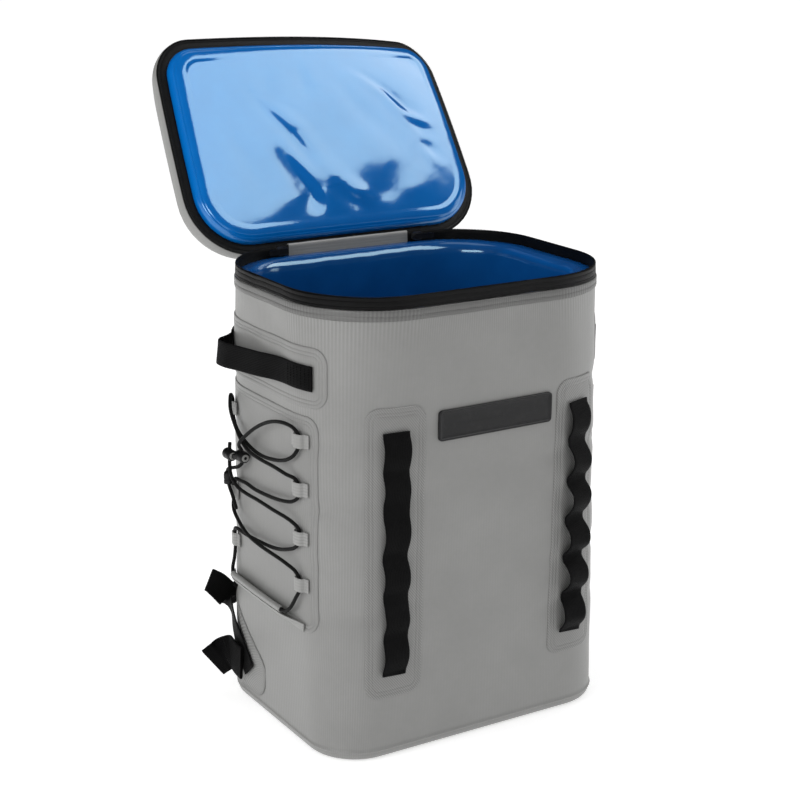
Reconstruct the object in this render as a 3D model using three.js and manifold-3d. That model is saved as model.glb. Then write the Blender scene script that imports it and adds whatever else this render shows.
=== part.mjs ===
// A soft-sided cooler carried as a backpack, standing with its padded lid hinged open at the back.
// Millimetres, +Z up. The origin is the middle of the flat base, the label faces -Y and the
// shoulder straps +Y.

import * as THREE from 'three';
import { mergeVertices } from 'three/addons/utils/BufferGeometryUtils.js';
import Module from 'manifold-3d';

const wasm = await Module();
wasm.setup();

// Body
const baseWidth = 340;
const baseDepth = 255;
const baseCorner = 54;
const rimWidth = 345.5;
const rimDepth = 275;
const rimCorner = 95;
const mouthHeight = 474;
const wallPadding = 20;
const floorPadding = 22;
const mouthRounding = 8;
const baseRounding = 9;
const baseFoldProud = 1.2;
const linerThickness = 1.5;

// Welded sheet, webbing and clearances
const sheetThickness = 1.2;
const webbingThickness = 1.8;
const seatGap = 0.5;
const gap = 0.3;

// Zip and rim
const tapeHeight = 12;
const tapeThickness = 1.6;
const rimBandHeight = 10;
const rimBandThickness = 1;
const zipGapHalf = 74;
const sliderLength = 13;
const sliderWidth = 8.5;
const sliderDepth = 4.2;
const pullLength = 24;
const pullWidth = 6;
const pullThickness = 1.6;
const pullClearance = 1.1;

// Lid
const lidWidth = 359;
const lidLength = 240;
const lidTipCorner = 41;
const lidHingeCorner = 68;
const lidOpenAngle = THREE.MathUtils.degToRad(117);
const lidTwist = THREE.MathUtils.degToRad(9.9);
const lidCrown = 17;
const lidShellDepth = 29;
const lidTapeWidth = 11;
const lidCushionHeight = 14;
const lidSideShift = 2.8;
const hingeDrop = 7.3;
const hingeFoldGap = 1;

// Front
const labelWidth = 134;
const labelHeight = 31;
const labelThickness = 2;
const labelBorder = 2.2;
const labelBorderProud = 0.8;
const labelCorner = 4;
const labelCentreX = 8.5;
const labelCentreZ = 342;
const ladderLeftX = -104.5;
const ladderRightX = 110;
const ladderPatchLeftX = -103.5;
const ladderPatchRightX = 114;
const ladderWidth = 27;
const ladderBottom = 91;
const ladderTop = 343;
const ladderHumps = 6;
const ladderHumpHeight = 11;
const ladderPatchWidth = 62;
const ladderPatchMargin = 24;
const ladderPatchCorner = 14;

// Side handle
const handleWidth = 25;
const handleDrop = 82;
const handleCentreZ = mouthHeight - handleDrop;
const handleStart = -84;
const handleSpan = 196;
const handleReach = 18;
const handleDroop = 3.5;
const handlePatchHeight = 60;
const handlePatchFront = -99;
const handlePatchRear = 124;
const handlePatchCorner = 16;

// Side lacing
const lacePatchFront = -89;
const lacePatchRear = 108;
const lacePatchBottom = 130;
const lacePatchTop = 353;
const lacePatchCorner = 15;
const laceDiameter = 3.8;
const laceSides = 8;
const loopLength = 24;
const loopHeight = 14;
const loopThickness = 1.4;
const frontLoopS = -67;
const rearLoopS = 78;
const laceTopZ = 328;
const laceSpan = 148;
const hemFront = -36;
const hemRear = 74;
const pocketFront = -72;
const pocketRear = 98;
const hemHeight = 142.5;
const hemStandoff = 8;
const hemRadius = 4;
const hemBoreRadius = 2.6;
const pocketThickness = 1.4;
const pocketDepth = 7.5;

// Cord locks
const lockBoreRadius = 2.8;
const barrelLength = 16;
const barrelRadius = 5.8;
const bellLength = 13;
const bellRadius = 4.5;

// Shoulder straps and lower anchors
const padWidth = 58;
const padThickness = 12;
const padFootZ = 206;
const padRise = 16;
const padStandoff = 26;
const padSpread = 80;
const strapWebbingWidth = 25;
const beltTabWidth = 38;
const yokeWidth = 176;
const yokeHeight = 44;
const yokeDrop = 50;
const yokeCentreZ = mouthHeight - yokeDrop;
const yokeCorner = 12;
const ladderLockWidth = 34;
const ladderLockHeight = 26;
const ladderLockThickness = 4;
const ladderLockBar = 4;
const ladderLockTurn = 0.3;
const ladderLockSeat = 1.5;
const anchorPatchBottom = 14;
const anchorPatchHeight = 102;
const anchorPatchReach = 98;
const strapSpan = 100;
const strapStandoff = 29;
const beltTabReach = 23;

// How finely curves are cut
const cornerSteps = 6;
const wrapStep = 10;
const roundSteps = 3;
const barrelSides = 10;

const grey = { color: 0x94958f, roughness: 0.5, metalness: 0 };
const blue = { color: 0x1763c4, roughness: 0.25, metalness: 0 };
const black = { color: 0x151515, roughness: 0.75, metalness: 0 };
const blackPlastic = { color: 0x1b1b1c, roughness: 0.45, metalness: 0 };
const zipMetal = { color: 0x55575a, roughness: 0.4, metalness: 0.6 };

const model = new THREE.Group();

function addPiece(name, geometry, finish) {
  const material = new THREE.MeshStandardMaterial(finish);
  const piece = new THREE.Mesh(geometry, material);
  piece.name = name;
  model.add(piece);
  return piece;
}

function vector(x, y, z) {
  return new THREE.Vector3(x, y, z);
}

// Solids from loops

/** Six times the signed volume of an indexed triangle mesh. */
function signedVolume(points, faces) {
  let sum = 0;
  for (const [a, b, c] of faces) {
    sum += points[a].dot(points[b].clone().cross(points[c]));
  }
  return sum;
}

/** Joins closed loops of points in order into one solid; a ring joins its last loop to its first. */
function loft(loops, isRing = false) {
  const count = loops[0].length;
  const points = loops.flat();
  const faces = [];
  const spans = isRing ? loops.length : loops.length - 1;
  for (let i = 0; i < spans; i += 1) {
    const here = i * count;
    const next = ((i + 1) % loops.length) * count;
    for (let j = 0; j < count; j += 1) {
      const k = (j + 1) % count;
      faces.push([here + j, here + k, next + k]);
      faces.push([here + j, next + k, next + j]);
    }
  }
  if (!isRing) {
    const last = (loops.length - 1) * count;
    for (let j = 1; j < count - 1; j += 1) {
      faces.push([0, j + 1, j]);
      faces.push([last, last + j, last + j + 1]);
    }
  }
  if (signedVolume(points, faces) < 0) {
    faces.forEach((face) => face.reverse());
  }
  const geometry = new THREE.BufferGeometry();
  const positions = points.flatMap((point) => point.toArray());
  geometry.setAttribute('position', new THREE.Float32BufferAttribute(positions, 3));
  geometry.setIndex(faces.flat());
  return geometry;
}

/** A flat strip along a path: each station has its centre and the direction of the strip's width. */
function ribbon(stations, width, thickness) {
  const loops = stations.map(({ centre, across }, i) => {
    const before = stations[Math.max(i - 1, 0)].centre;
    const after = stations[Math.min(i + 1, stations.length - 1)].centre;
    const along = after.clone().sub(before).normalize();
    const side = across.clone().addScaledVector(along, -across.dot(along)).normalize();
    const normal = along.clone().cross(side);
    const corners = [[-1, -1], [-1, 1], [1, 1], [1, -1]];
    return corners.map(([w, t]) => centre.clone()
      .addScaledVector(side, w * width / 2)
      .addScaledVector(normal, t * thickness / 2));
  });
  return loft(loops);
}

/** Rounded rectangle loop as [x, y] pairs, with steps cuts to each corner. */
function roundedLoop(halfWidth, halfHeight, corner, steps) {
  const loop = [];
  const signs = [[1, 1], [-1, 1], [-1, -1], [1, -1]];
  signs.forEach(([sx, sy], quadrant) => {
    for (let j = 0; j <= steps; j += 1) {
      const angle = (quadrant + j / steps) * Math.PI / 2;
      const x = sx * (halfWidth - corner) + corner * Math.cos(angle);
      const y = sy * (halfHeight - corner) + corner * Math.sin(angle);
      loop.push([x, y]);
    }
  });
  return loop;
}

/** A manifold-3d solid from a three.js geometry. */
function toSolid(geometry) {
  const bare = geometry.clone();
  bare.deleteAttribute('normal');
  bare.deleteAttribute('uv');
  const merged = mergeVertices(bare);
  const vertProperties = new Float32Array(merged.attributes.position.array);
  const triVerts = new Uint32Array(merged.index.array);
  return new wasm.Manifold(new wasm.Mesh({ numProp: 3, vertProperties, triVerts }));
}

/** A three.js geometry from a manifold-3d solid. */
function fromSolid(solid) {
  const mesh = solid.getMesh();
  const geometry = new THREE.BufferGeometry();
  const positions = new THREE.Float32BufferAttribute(mesh.vertProperties, 3);
  geometry.setAttribute('position', positions);
  geometry.setIndex(Array.from(mesh.triVerts));
  return geometry;
}

// The body's wall

/** The body's outer rounded rectangle at a height: it widens and rounds from base to rim. */
function sectionAt(z) {
  const share = z / mouthHeight;
  return {
    width: THREE.MathUtils.lerp(baseWidth, rimWidth, share),
    depth: THREE.MathUtils.lerp(baseDepth, rimDepth, share),
    corner: THREE.MathUtils.lerp(baseCorner, rimCorner, share),
  };
}

const wallFaces = {
  front: { along: vector(1, 0, 0), out: vector(0, -1, 0), across: 'width', through: 'depth' },
  back: { along: vector(1, 0, 0), out: vector(0, 1, 0), across: 'width', through: 'depth' },
  left: { along: vector(0, 1, 0), out: vector(-1, 0, 0), across: 'depth', through: 'width' },
  right: { along: vector(0, 1, 0), out: vector(1, 0, 0), across: 'depth', through: 'width' },
};

/** Half of a face's flat stretch at a height, before the corners begin. */
function flatHalf(face, z) {
  const section = sectionAt(z);
  return section[wallFaces[face].across] / 2 - section.corner;
}

/**
 * A point on a face of the body: s runs round the wall from the face's middle, past the corner if
 * it is long enough, z is the height and lift is the distance out from the wall.
 */
function onWall(face, s, z, lift) {
  const { along, out, through } = wallFaces[face];
  const section = sectionAt(z);
  const flat = flatHalf(face, z);
  const pastFlat = Math.max(Math.abs(s) - flat, 0);
  const angle = Math.min(pastFlat / section.corner, Math.PI / 2);
  const pastCorner = pastFlat - angle * section.corner;
  const radius = section.corner + lift;
  const run = Math.min(Math.abs(s), flat) + radius * Math.sin(angle);
  const rise = section[through] / 2 - section.corner + radius * Math.cos(angle) - pastCorner;
  return along.clone().multiplyScalar(Math.sign(s) * run)
    .addScaledVector(out, rise)
    .setZ(z);
}

/** Direction along the wall at a place on a face. */
function wallTangent(face, s, z) {
  const step = 0.5;
  return onWall(face, s + step, z, 0).sub(onWall(face, s - step, z, 0)).normalize();
}

/** One level loop round the body, moved out from the wall by lift. */
function bodyLoop(z, lift) {
  const { width, depth, corner } = sectionAt(z);
  const loop = roundedLoop(width / 2 + lift, depth / 2 + lift, corner + lift, cornerSteps);
  return loop.map(([x, y]) => vector(x, y, z));
}

/** Places along s from start to end, cut finely where the wall turns a corner. */
function wrapStations(face, start, end, z) {
  const flat = flatHalf(face, z);
  const cuts = [start];
  const span = end - start;
  const count = Math.ceil(span / wrapStep);
  for (let i = 1; i < count; i += 1) {
    const s = start + span * i / count;
    if (Math.abs(s) > flat - wrapStep) {
      cuts.push(s);
    }
  }
  return [...cuts, end];
}

/** A sheet on the wall from columns of {s, low, high}, seated over what is under it. */
function wallSheet(face, columns, lift, thickness) {
  const loops = columns.map(({ s, low, high }) => {
    const heights = [low, (low + high) / 2, high];
    const inner = heights.map((z) => onWall(face, s, z, lift));
    const outer = heights.map((z) => onWall(face, s, z, lift + thickness));
    return [...inner, ...outer.reverse()];
  });
  return loft(loops);
}

/** Columns of a patch with rounded corners. */
function roundedColumns(face, start, end, low, high, corner) {
  const ends = [];
  for (let j = 0; j <= roundSteps; j += 1) {
    const angle = j / roundSteps * Math.PI / 2;
    const inset = corner * (1 - Math.sin(angle));
    ends.push({ run: corner * (1 - Math.cos(angle)), inset });
  }
  const near = ends.map(({ run, inset }) => ({ s: start + run, low: low + inset, high: high - inset }));
  const far = ends.map(({ run, inset }) => ({ s: end - run, low: low + inset, high: high - inset }));
  const between = wrapStations(face, start + corner, end - corner, high).slice(1, -1);
  return [...near, ...between.map((s) => ({ s, low, high })), ...far.reverse()];
}

const patchLift = seatGap;
const onPatchLift = patchLift + sheetThickness + seatGap;
const shellTop = mouthHeight - tapeHeight - gap;

// Body shell: the padded grey tub with its welded fold at the base

const baseEdge = [
  { name: 'floor', rise: 0, inset: 1 },
  { name: 'turn', rise: 0.16, inset: 0.36 },
  { name: 'side', rise: 0.55, inset: 0.06 },
  { name: 'under fold', rise: 0.8, inset: 0 },
];

function makeBodyShell() {
  const edge = baseEdge.map(({ rise, inset }) => bodyLoop(rise * baseRounding, -inset * baseRounding));
  const foldLow = baseRounding;
  const foldHigh = foldLow + 2 * baseFoldProud;
  const cavityLift = -wallPadding;
  const loops = [
    ...edge,
    bodyLoop(foldLow, baseFoldProud),
    bodyLoop(foldHigh, baseFoldProud),
    bodyLoop(foldHigh + baseFoldProud, 0),
    bodyLoop(shellTop, 0),
    bodyLoop(shellTop, cavityLift + mouthRounding),
    bodyLoop(shellTop - mouthRounding * 0.3, cavityLift + mouthRounding * 0.3),
    bodyLoop(shellTop - mouthRounding, cavityLift),
    bodyLoop(floorPadding, cavityLift),
  ];
  addPiece('body_shell', loft(loops), grey);
}

// Body liner: the blue tub that rolls over the padding to make the shelf under the zip

function makeBodyLiner() {
  const outerLift = -wallPadding - gap;
  const innerLift = outerLift - linerThickness;
  const underShelf = shellTop + gap;
  const shelf = underShelf + linerThickness;
  const shelfEdge = -tapeThickness - gap;
  const roll = mouthRounding;
  const floorUnder = floorPadding + gap;
  const loops = [
    bodyLoop(floorUnder, outerLift),
    bodyLoop(underShelf - roll, outerLift),
    bodyLoop(underShelf - roll * 0.3, outerLift + roll * 0.3),
    bodyLoop(underShelf, outerLift + roll),
    bodyLoop(underShelf, shelfEdge),
    bodyLoop(shelf, shelfEdge),
    bodyLoop(shelf, outerLift + roll),
    bodyLoop(shelf - roll * 0.3 - linerThickness * 0.1, innerLift + roll * 0.3),
    bodyLoop(shelf - roll - linerThickness, innerLift),
    bodyLoop(floorUnder + linerThickness, innerLift),
  ];
  addPiece('body_liner', loft(loops), blue);
}

// Rim: the welded grey band below the zip and the zip tape round the mouth

function makeRimBand() {
  const high = shellTop - gap;
  const low = high - rimBandHeight;
  const inner = gap;
  const outer = gap + rimBandThickness;
  const corners = [[low, inner], [low, outer], [high, outer], [high, inner]];
  const loops = corners.map(([z, lift]) => bodyLoop(z, lift));
  addPiece('rim_band', loft(loops, true), grey);
}

function makeMouthTape() {
  const low = shellTop + gap;
  const corners = [[low, -tapeThickness], [low, 0], [mouthHeight, 0], [mouthHeight, -tapeThickness]];
  const levels = corners.map(([z, lift]) => {
    const loop = bodyLoop(z, lift);
    const backRight = loop.slice(0, cornerSteps + 1).reverse();
    const others = loop.slice(cornerSteps + 1).reverse();
    const backY = sectionAt(z).depth / 2 + lift;
    const start = zipGapHalf + gap;
    return [vector(start, backY, z), ...backRight, ...others, vector(-start, backY, z)];
  });
  const stations = levels[0].map((_, i) => levels.map((level) => level[i]));
  addPiece('mouth_tape', loft(stations), black);
}

// Hinge: the grey fabric that fills the break in the zip and folds over to the lid

const hingeLegInner = rimDepth / 2;
const hingeLegOuter = hingeLegInner + hingeFoldGap + tapeThickness;
const hingeY = hingeLegOuter + seatGap;
const hingeZ = mouthHeight - hingeDrop;

function makeHingePanel() {
  const low = shellTop + gap;
  const top = mouthHeight + tapeThickness;
  const lowY = sectionAt(low).depth / 2;
  const outline = [
    [lowY - tapeThickness, low],
    [lowY, low],
    [hingeLegInner, mouthHeight],
    [hingeLegOuter - tapeThickness, mouthHeight],
    [hingeLegOuter - tapeThickness, hingeZ],
    [hingeLegOuter, hingeZ],
    [hingeLegOuter, top - tapeThickness / 2],
    [hingeLegOuter - tapeThickness / 2, top],
    [hingeLegInner - tapeThickness / 2, top],
    [hingeLegInner - tapeThickness, top - tapeThickness / 2],
  ];
  const shape = new THREE.Shape(outline.map(([y, z]) => new THREE.Vector2(y, z)));
  const geometry = new THREE.ExtrudeGeometry(shape, { depth: 2 * zipGapHalf, bevelEnabled: false });
  const turn = new THREE.Matrix4().makeBasis(vector(0, 1, 0), vector(0, 0, 1), vector(1, 0, 0));
  geometry.applyMatrix4(turn);
  geometry.translate(-zipGapHalf, 0, 0);
  addPiece('hinge_panel', geometry, grey);
}

// Lid

/**
 * A point of the open lid: u across it, v from the hinge to the tip and n out of its inner side.
 * The open lid twists a little along its length and its side edges droop towards the tip.
 */
function onLid(u, v, n) {
  const across = u / lidWidth;
  const along = v / lidLength;
  const angle = lidOpenAngle + lidTwist * across * along;
  const droop = lidCrown * (2 * across) ** 2 * along;
  const up = vector(0, -Math.cos(angle), Math.sin(angle));
  const inward = vector(0, -Math.sin(angle), -Math.cos(angle));
  return vector(u + lidSideShift, hingeY, hingeZ)
    .addScaledVector(up, v)
    .addScaledVector(inward, n - droop);
}

/** Outline of the lid in [u, v], pulled in by inset, with its long sides cut for the droop. */
function lidOutline(inset) {
  const outline = [];
  const halfWidth = lidWidth / 2;
  const corners = [
    { side: 1, v: lidLength, corner: lidTipCorner, turn: 0 },
    { side: -1, v: lidLength, corner: lidTipCorner, turn: 1 },
    { side: -1, v: 0, corner: lidHingeCorner, turn: 2 },
    { side: 1, v: 0, corner: lidHingeCorner, turn: 3 },
  ];
  const arcs = corners.map(({ side, v, corner, turn }) => {
    const radius = Math.max(corner - inset, 2);
    const toMiddle = v > 0 ? -1 : 1;
    const centreU = side * (halfWidth - inset - radius);
    const centreV = v + toMiddle * (inset + radius);
    return Array.from({ length: cornerSteps + 1 }, (_, j) => {
      const angle = (turn + j / cornerSteps) * Math.PI / 2;
      return [centreU + radius * Math.cos(angle), centreV + radius * Math.sin(angle)];
    });
  });
  arcs.forEach((arc, i) => {
    outline.push(...arc);
    const [fromU, fromV] = arc[arc.length - 1];
    const [toU, toV] = arcs[(i + 1) % arcs.length][0];
    const cuts = i % 2 === 0 ? 4 : 2;
    for (let j = 1; j < cuts; j += 1) {
      const share = j / cuts;
      outline.push([THREE.MathUtils.lerp(fromU, toU, share), THREE.MathUtils.lerp(fromV, toV, share)]);
    }
  });
  return outline;
}

function lidLoop(inset, height) {
  return lidOutline(inset).map(([u, v]) => {
    const n = typeof height === 'function' ? height(u, v) : height;
    return onLid(u, v, n);
  });
}

// Rows of inset and depth are shares of the shell's shoulder and depth.
const lidShellProfile = [
  { name: 'inner edge', inset: 0, depth: 0 },
  { name: 'side', inset: 0.1, depth: 0.55 },
  { name: 'shoulder', inset: 0.45, depth: 0.86 },
  { name: 'outer edge', inset: 1.1, depth: 1 },
];
const lidFaceInsets = [32, 66, 104];
const lidShoulder = 12;
const lidPillow = 4;
const lidTaperStart = 0.72;
const lidTipTaper = 0.5;

function makeLidShell() {
  const front = -tapeThickness - gap;
  const faceLoops = [lidTapeWidth, ...lidFaceInsets].map((inset) => lidLoop(inset, front));
  const depthAt = (v) => {
    const thinner = THREE.MathUtils.smoothstep(v / lidLength, lidTaperStart, 1) * lidTipTaper;
    return lidShellDepth * (1 - thinner);
  };
  const sideLoops = lidShellProfile.map(({ inset, depth }) => (
    lidLoop(inset * lidShoulder, (u, v) => front - depth * depthAt(v))
  ));
  const backLoops = lidFaceInsets.map((inset, i) => {
    const pillow = lidPillow * (i + 1) / lidFaceInsets.length;
    return lidLoop(inset, (u, v) => front - depthAt(v) - pillow);
  });
  addPiece('lid_shell', loft([...faceLoops.reverse(), ...sideLoops, ...backLoops]), grey);
}

function makeLidTape() {
  const corners = [[0, 0], [lidTapeWidth, 0], [lidTapeWidth, -tapeThickness], [0, -tapeThickness]];
  addPiece('lid_tape', loft(corners.map(([inset, n]) => lidLoop(inset, n)), true), black);
}

// Folds in the cushion's face: ends as shares of the lid, depth as a share of the cushion's height.
const lidFolds = [
  { name: 'long diagonal', fromU: -0.12, fromV: 0.92, toU: 0.2, toV: 0.16, depth: 0.22, reach: 0.07 },
  { name: 'upper left', fromU: -0.42, fromV: 0.7, toU: -0.16, toV: 0.86, depth: 0.14, reach: 0.06 },
  { name: 'lower left', fromU: -0.34, fromV: 0.1, toU: -0.05, toV: 0.3, depth: 0.14, reach: 0.06 },
  { name: 'right edge', fromU: 0.3, fromV: 0.62, toU: 0.46, toV: 0.48, depth: 0.18, reach: 0.05 },
];

/** How far the folds pull the cushion's face in at a place. */
function foldDepth(u, v) {
  const here = new THREE.Vector2(u / lidWidth, v / lidLength);
  let total = 0;
  for (const { fromU, fromV, toU, toV, depth, reach } of lidFolds) {
    const from = new THREE.Vector2(fromU, fromV);
    const line = new THREE.Vector2(toU, toV).sub(from);
    const share = THREE.MathUtils.clamp(here.clone().sub(from).dot(line) / line.lengthSq(), 0, 1);
    const away = here.distanceTo(from.addScaledVector(line, share)) / reach;
    total += depth * Math.exp(-away * away);
  }
  return total * lidCushionHeight;
}

const cushionProfile = [
  { name: 'side foot', inset: 0, height: 0 },
  { name: 'side', inset: 1, height: 0.5 },
  { name: 'shoulder', inset: 3, height: 0.82 },
  { name: 'face edge', inset: 8, height: 1 },
];

function makeLidLiner() {
  const foot = lidTapeWidth + gap;
  const bottom = -tapeThickness;
  const under = lidFaceInsets.map((inset) => lidLoop(inset, bottom));
  const sides = cushionProfile.map(({ inset, height }) => (
    lidLoop(foot + inset, bottom + height * (lidCushionHeight + tapeThickness))
  ));
  const face = lidFaceInsets.map((inset, i) => {
    const crown = lidPillow * (i + 1) / lidFaceInsets.length;
    return lidLoop(inset, (u, v) => lidCushionHeight + crown - foldDepth(u, v));
  });
  addPiece('lid_liner', loft([...under.reverse(), ...sides, ...face]), blue);
}

// Zip sliders, one parked at each end of the zip, with their pulls

const chordRise = rimCorner * (1 - Math.cos(Math.PI / 4 / cornerSteps));

/** A flat rounded bar inside the back of the mouth tape, extruded away from the tape. */
function makeTapeBar(name, place, length, width, rounding, start, depth, finish) {
  const outline = roundedLoop(length / 2, width / 2, rounding, 2);
  const shape = new THREE.Shape(outline.map(([x, y]) => new THREE.Vector2(x, y)));
  const bar = new THREE.ExtrudeGeometry(shape, { depth, bevelEnabled: false });
  const height = mouthHeight - tapeHeight / 2 + linerThickness;
  const along = wallTangent('back', place, height);
  const up = vector(0, 0, 1);
  const inward = along.clone().cross(up);
  const piece = addPiece(name, bar, finish);
  piece.quaternion.setFromRotationMatrix(new THREE.Matrix4().makeBasis(along, up, inward));
  piece.position.copy(onWall('back', place, height, -tapeThickness - chordRise - start));
}

function makeZipEnd(name, side) {
  const sliderPlace = side * (zipGapHalf + gap + sliderLength * 0.8);
  const pullPlace = sliderPlace + side * pullLength * 0.3;
  makeTapeBar(`zip_slider_${name}`, sliderPlace, sliderLength, sliderWidth, sliderWidth * 0.3,
    seatGap, sliderDepth, zipMetal);
  makeTapeBar(`zip_pull_${name}`, pullPlace, pullLength, pullWidth, pullWidth * 0.4,
    seatGap + sliderDepth + pullClearance, pullThickness, black);
}

// Label plate: a bare rubber plate with a raised border

function makeLabel() {
  const loop = (inset, lift) => {
    const outline = roundedLoop(
      labelWidth / 2 - inset,
      labelHeight / 2 - inset,
      Math.max(labelCorner - inset, 1),
      roundSteps,
    );
    return outline.map(([x, z]) => onWall('front', labelCentreX + x, labelCentreZ + z, lift));
  };
  const back = gap;
  const field = back + labelThickness;
  const border = field + labelBorderProud;
  const plate = loft([
    loop(0, back),
    loop(0, border),
    loop(labelBorder, border),
    loop(labelBorder, field),
  ]);
  addPiece('label_plate', plate, black);
}

// Webbing ladders on the front: each is tacked to its patch between six loops

const ladders = [
  { name: 'left', centre: ladderLeftX, patchCentre: ladderPatchLeftX },
  { name: 'right', centre: ladderRightX, patchCentre: ladderPatchRightX },
];

// One loop of the ladder: along as a share of its pitch, rise as a share of the loop's height.
const ladderLoopProfile = [
  { name: 'tack', along: 0, rise: 0 },
  { name: 'tack end', along: 0.1, rise: 0 },
  { name: 'rising', along: 0.22, rise: 0.6 },
  { name: 'near top', along: 0.4, rise: 1 },
  { name: 'past top', along: 0.6, rise: 1 },
  { name: 'falling', along: 0.78, rise: 0.6 },
  { name: 'tack start', along: 0.9, rise: 0 },
];

function makeLadder({ name, centre, patchCentre }) {
  const low = ladderBottom - ladderPatchMargin;
  const high = ladderTop + ladderPatchMargin;
  const start = patchCentre - ladderPatchWidth / 2;
  const columns = roundedColumns('front', start, start + ladderPatchWidth, low, high, ladderPatchCorner);
  addPiece(`ladder_patch_${name}`, wallSheet('front', columns, patchLift, sheetThickness), grey);

  const pitch = (ladderTop - ladderBottom) / ladderHumps;
  const heights = [];
  for (let i = 0; i < ladderHumps; i += 1) {
    heights.push(...ladderLoopProfile.map(({ along, rise }) => [ladderBottom + (i + along) * pitch, rise]));
  }
  heights.push([ladderTop, 0]);
  const stations = heights.map(([z, rise]) => ({
    centre: onWall('front', centre, z, onPatchLift + webbingThickness / 2 + rise * ladderHumpHeight),
    across: wallTangent('front', centre, z),
  }));
  addPiece(`ladder_webbing_${name}`, ribbon(stations, ladderWidth, webbingThickness), black);
}

// Side handle: webbing sewn at both ends, standing away towards the back where it folds home

// Along is a share of the handle's span round the wall, out of its reach and down of its droop.
const handlePath = [
  { name: 'front end', along: 0, out: 0, down: 0 },
  { name: 'sewn', along: 0.194, out: 0, down: 0 },
  { name: 'leaving', along: 0.276, out: 0.08, down: 0.02 },
  { name: 'rising', along: 0.429, out: 0.42, down: 0.35 },
  { name: 'standing', along: 0.582, out: 0.74, down: 0.7 },
  { name: 'high', along: 0.694, out: 0.95, down: 0.95 },
  { name: 'fold top', along: 0.75, out: 1, down: 1 },
  { name: 'fold', along: 0.776, out: 0.85, down: 0.9 },
  { name: 'fold side', along: 0.791, out: 0.55, down: 0.7 },
  { name: 'coming home', along: 0.816, out: 0.2, down: 0.5 },
  { name: 'home', along: 0.857, out: 0.01, down: 0.35 },
  { name: 'rear end', along: 1, out: 0, down: 0.35 },
];

function makeHandle(side) {
  const low = handleCentreZ - handlePatchHeight / 2;
  const high = handleCentreZ + handlePatchHeight / 2;
  const columns = roundedColumns(
    side,
    handlePatchFront,
    handlePatchRear,
    low,
    high,
    handlePatchCorner,
  );
  addPiece(`handle_patch_${side}`, wallSheet(side, columns, patchLift, sheetThickness), grey);
  const base = onPatchLift + webbingThickness / 2;
  const up = vector(0, 0, 1);
  const stations = [];
  handlePath.forEach(({ along, out, down }, i) => {
    const height = handleCentreZ - down * handleDroop;
    const place = handleStart + along * handleSpan;
    stations.push({ centre: onWall(side, place, height, base + out * handleReach), across: up });
    const next = handlePath[i + 1];
    if (next && out < 0.02 && next.out < 0.02) {
      const end = handleStart + next.along * handleSpan;
      const between = wrapStations(side, place, end, height).slice(1, -1);
      between.forEach((s) => {
        stations.push({ centre: onWall(side, s, height, base), across: up });
      });
    }
  });
  addPiece(`side_handle_${side}`, ribbon(stations, handleWidth, webbingThickness), black);
}

// Side lacing: a patch with lace loops in two columns, and a low pocket with a hem tunnel

const laceTunnelLift = onPatchLift + laceDiameter / 2;
const loopInside = laceTunnelLift + laceDiameter / 2 + seatGap;

// Down is a share of the lacing's height.
const laceLoops = [
  { name: 'front_1', s: frontLoopS, down: 0 },
  { name: 'front_2', s: frontLoopS, down: 0.33 },
  { name: 'front_3', s: frontLoopS, down: 0.67 },
  { name: 'front_4', s: frontLoopS, down: 1 },
  { name: 'rear_1', s: rearLoopS, down: 0.02 },
  { name: 'rear_2', s: rearLoopS, down: 0.635 },
  { name: 'rear_3', s: rearLoopS, down: 0.993 },
];

const laceLoopProfile = [
  { name: 'weld end', along: -0.5, rise: 0 },
  { name: 'weld', along: -0.3, rise: 0 },
  { name: 'shoulder', along: -0.17, rise: 1 },
  { name: 'shoulder', along: 0.17, rise: 1 },
  { name: 'weld', along: 0.3, rise: 0 },
  { name: 'weld end', along: 0.5, rise: 0 },
];

function makeLaceLoops(side) {
  const low = onPatchLift + loopThickness / 2;
  const high = loopInside + loopThickness / 2;
  for (const { name, s, down } of laceLoops) {
    const z = laceTopZ - down * laceSpan;
    const stations = laceLoopProfile.map(({ along, rise }) => ({
      centre: onWall(side, s + along * loopLength, z, THREE.MathUtils.lerp(low, high, rise)),
      across: vector(0, 0, 1),
    }));
    addPiece(`lace_loop_${side}_${name}`, ribbon(stations, loopHeight, loopThickness), grey);
  }
}

function makeLacePatch(side) {
  const columns = roundedColumns(
    side,
    lacePatchFront,
    lacePatchRear,
    lacePatchBottom,
    lacePatchTop,
    lacePatchCorner,
  );
  addPiece(`lacing_patch_${side}`, wallSheet(side, columns, patchLift, sheetThickness), grey);
}

const hemShares = [0, 0.4, 0.7, 0.87, 1];
const hemStations = hemShares.map((share) => THREE.MathUtils.lerp(hemFront, hemRear, share));
const pocketRows = [
  { name: 'top', drop: 0, stand: 1 },
  { name: 'middle', drop: 0.5, stand: 0.8 },
  { name: 'weld', drop: 1, stand: 0 },
];

/** How full the pocket stands at a place along the wall, from 0 at its welded ends to 1. */
function pocketFullness(s) {
  const rise = THREE.MathUtils.smoothstep(s, pocketFront, hemFront);
  const fall = THREE.MathUtils.smoothstep(s, hemRear, pocketRear);
  return rise - fall;
}

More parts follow.
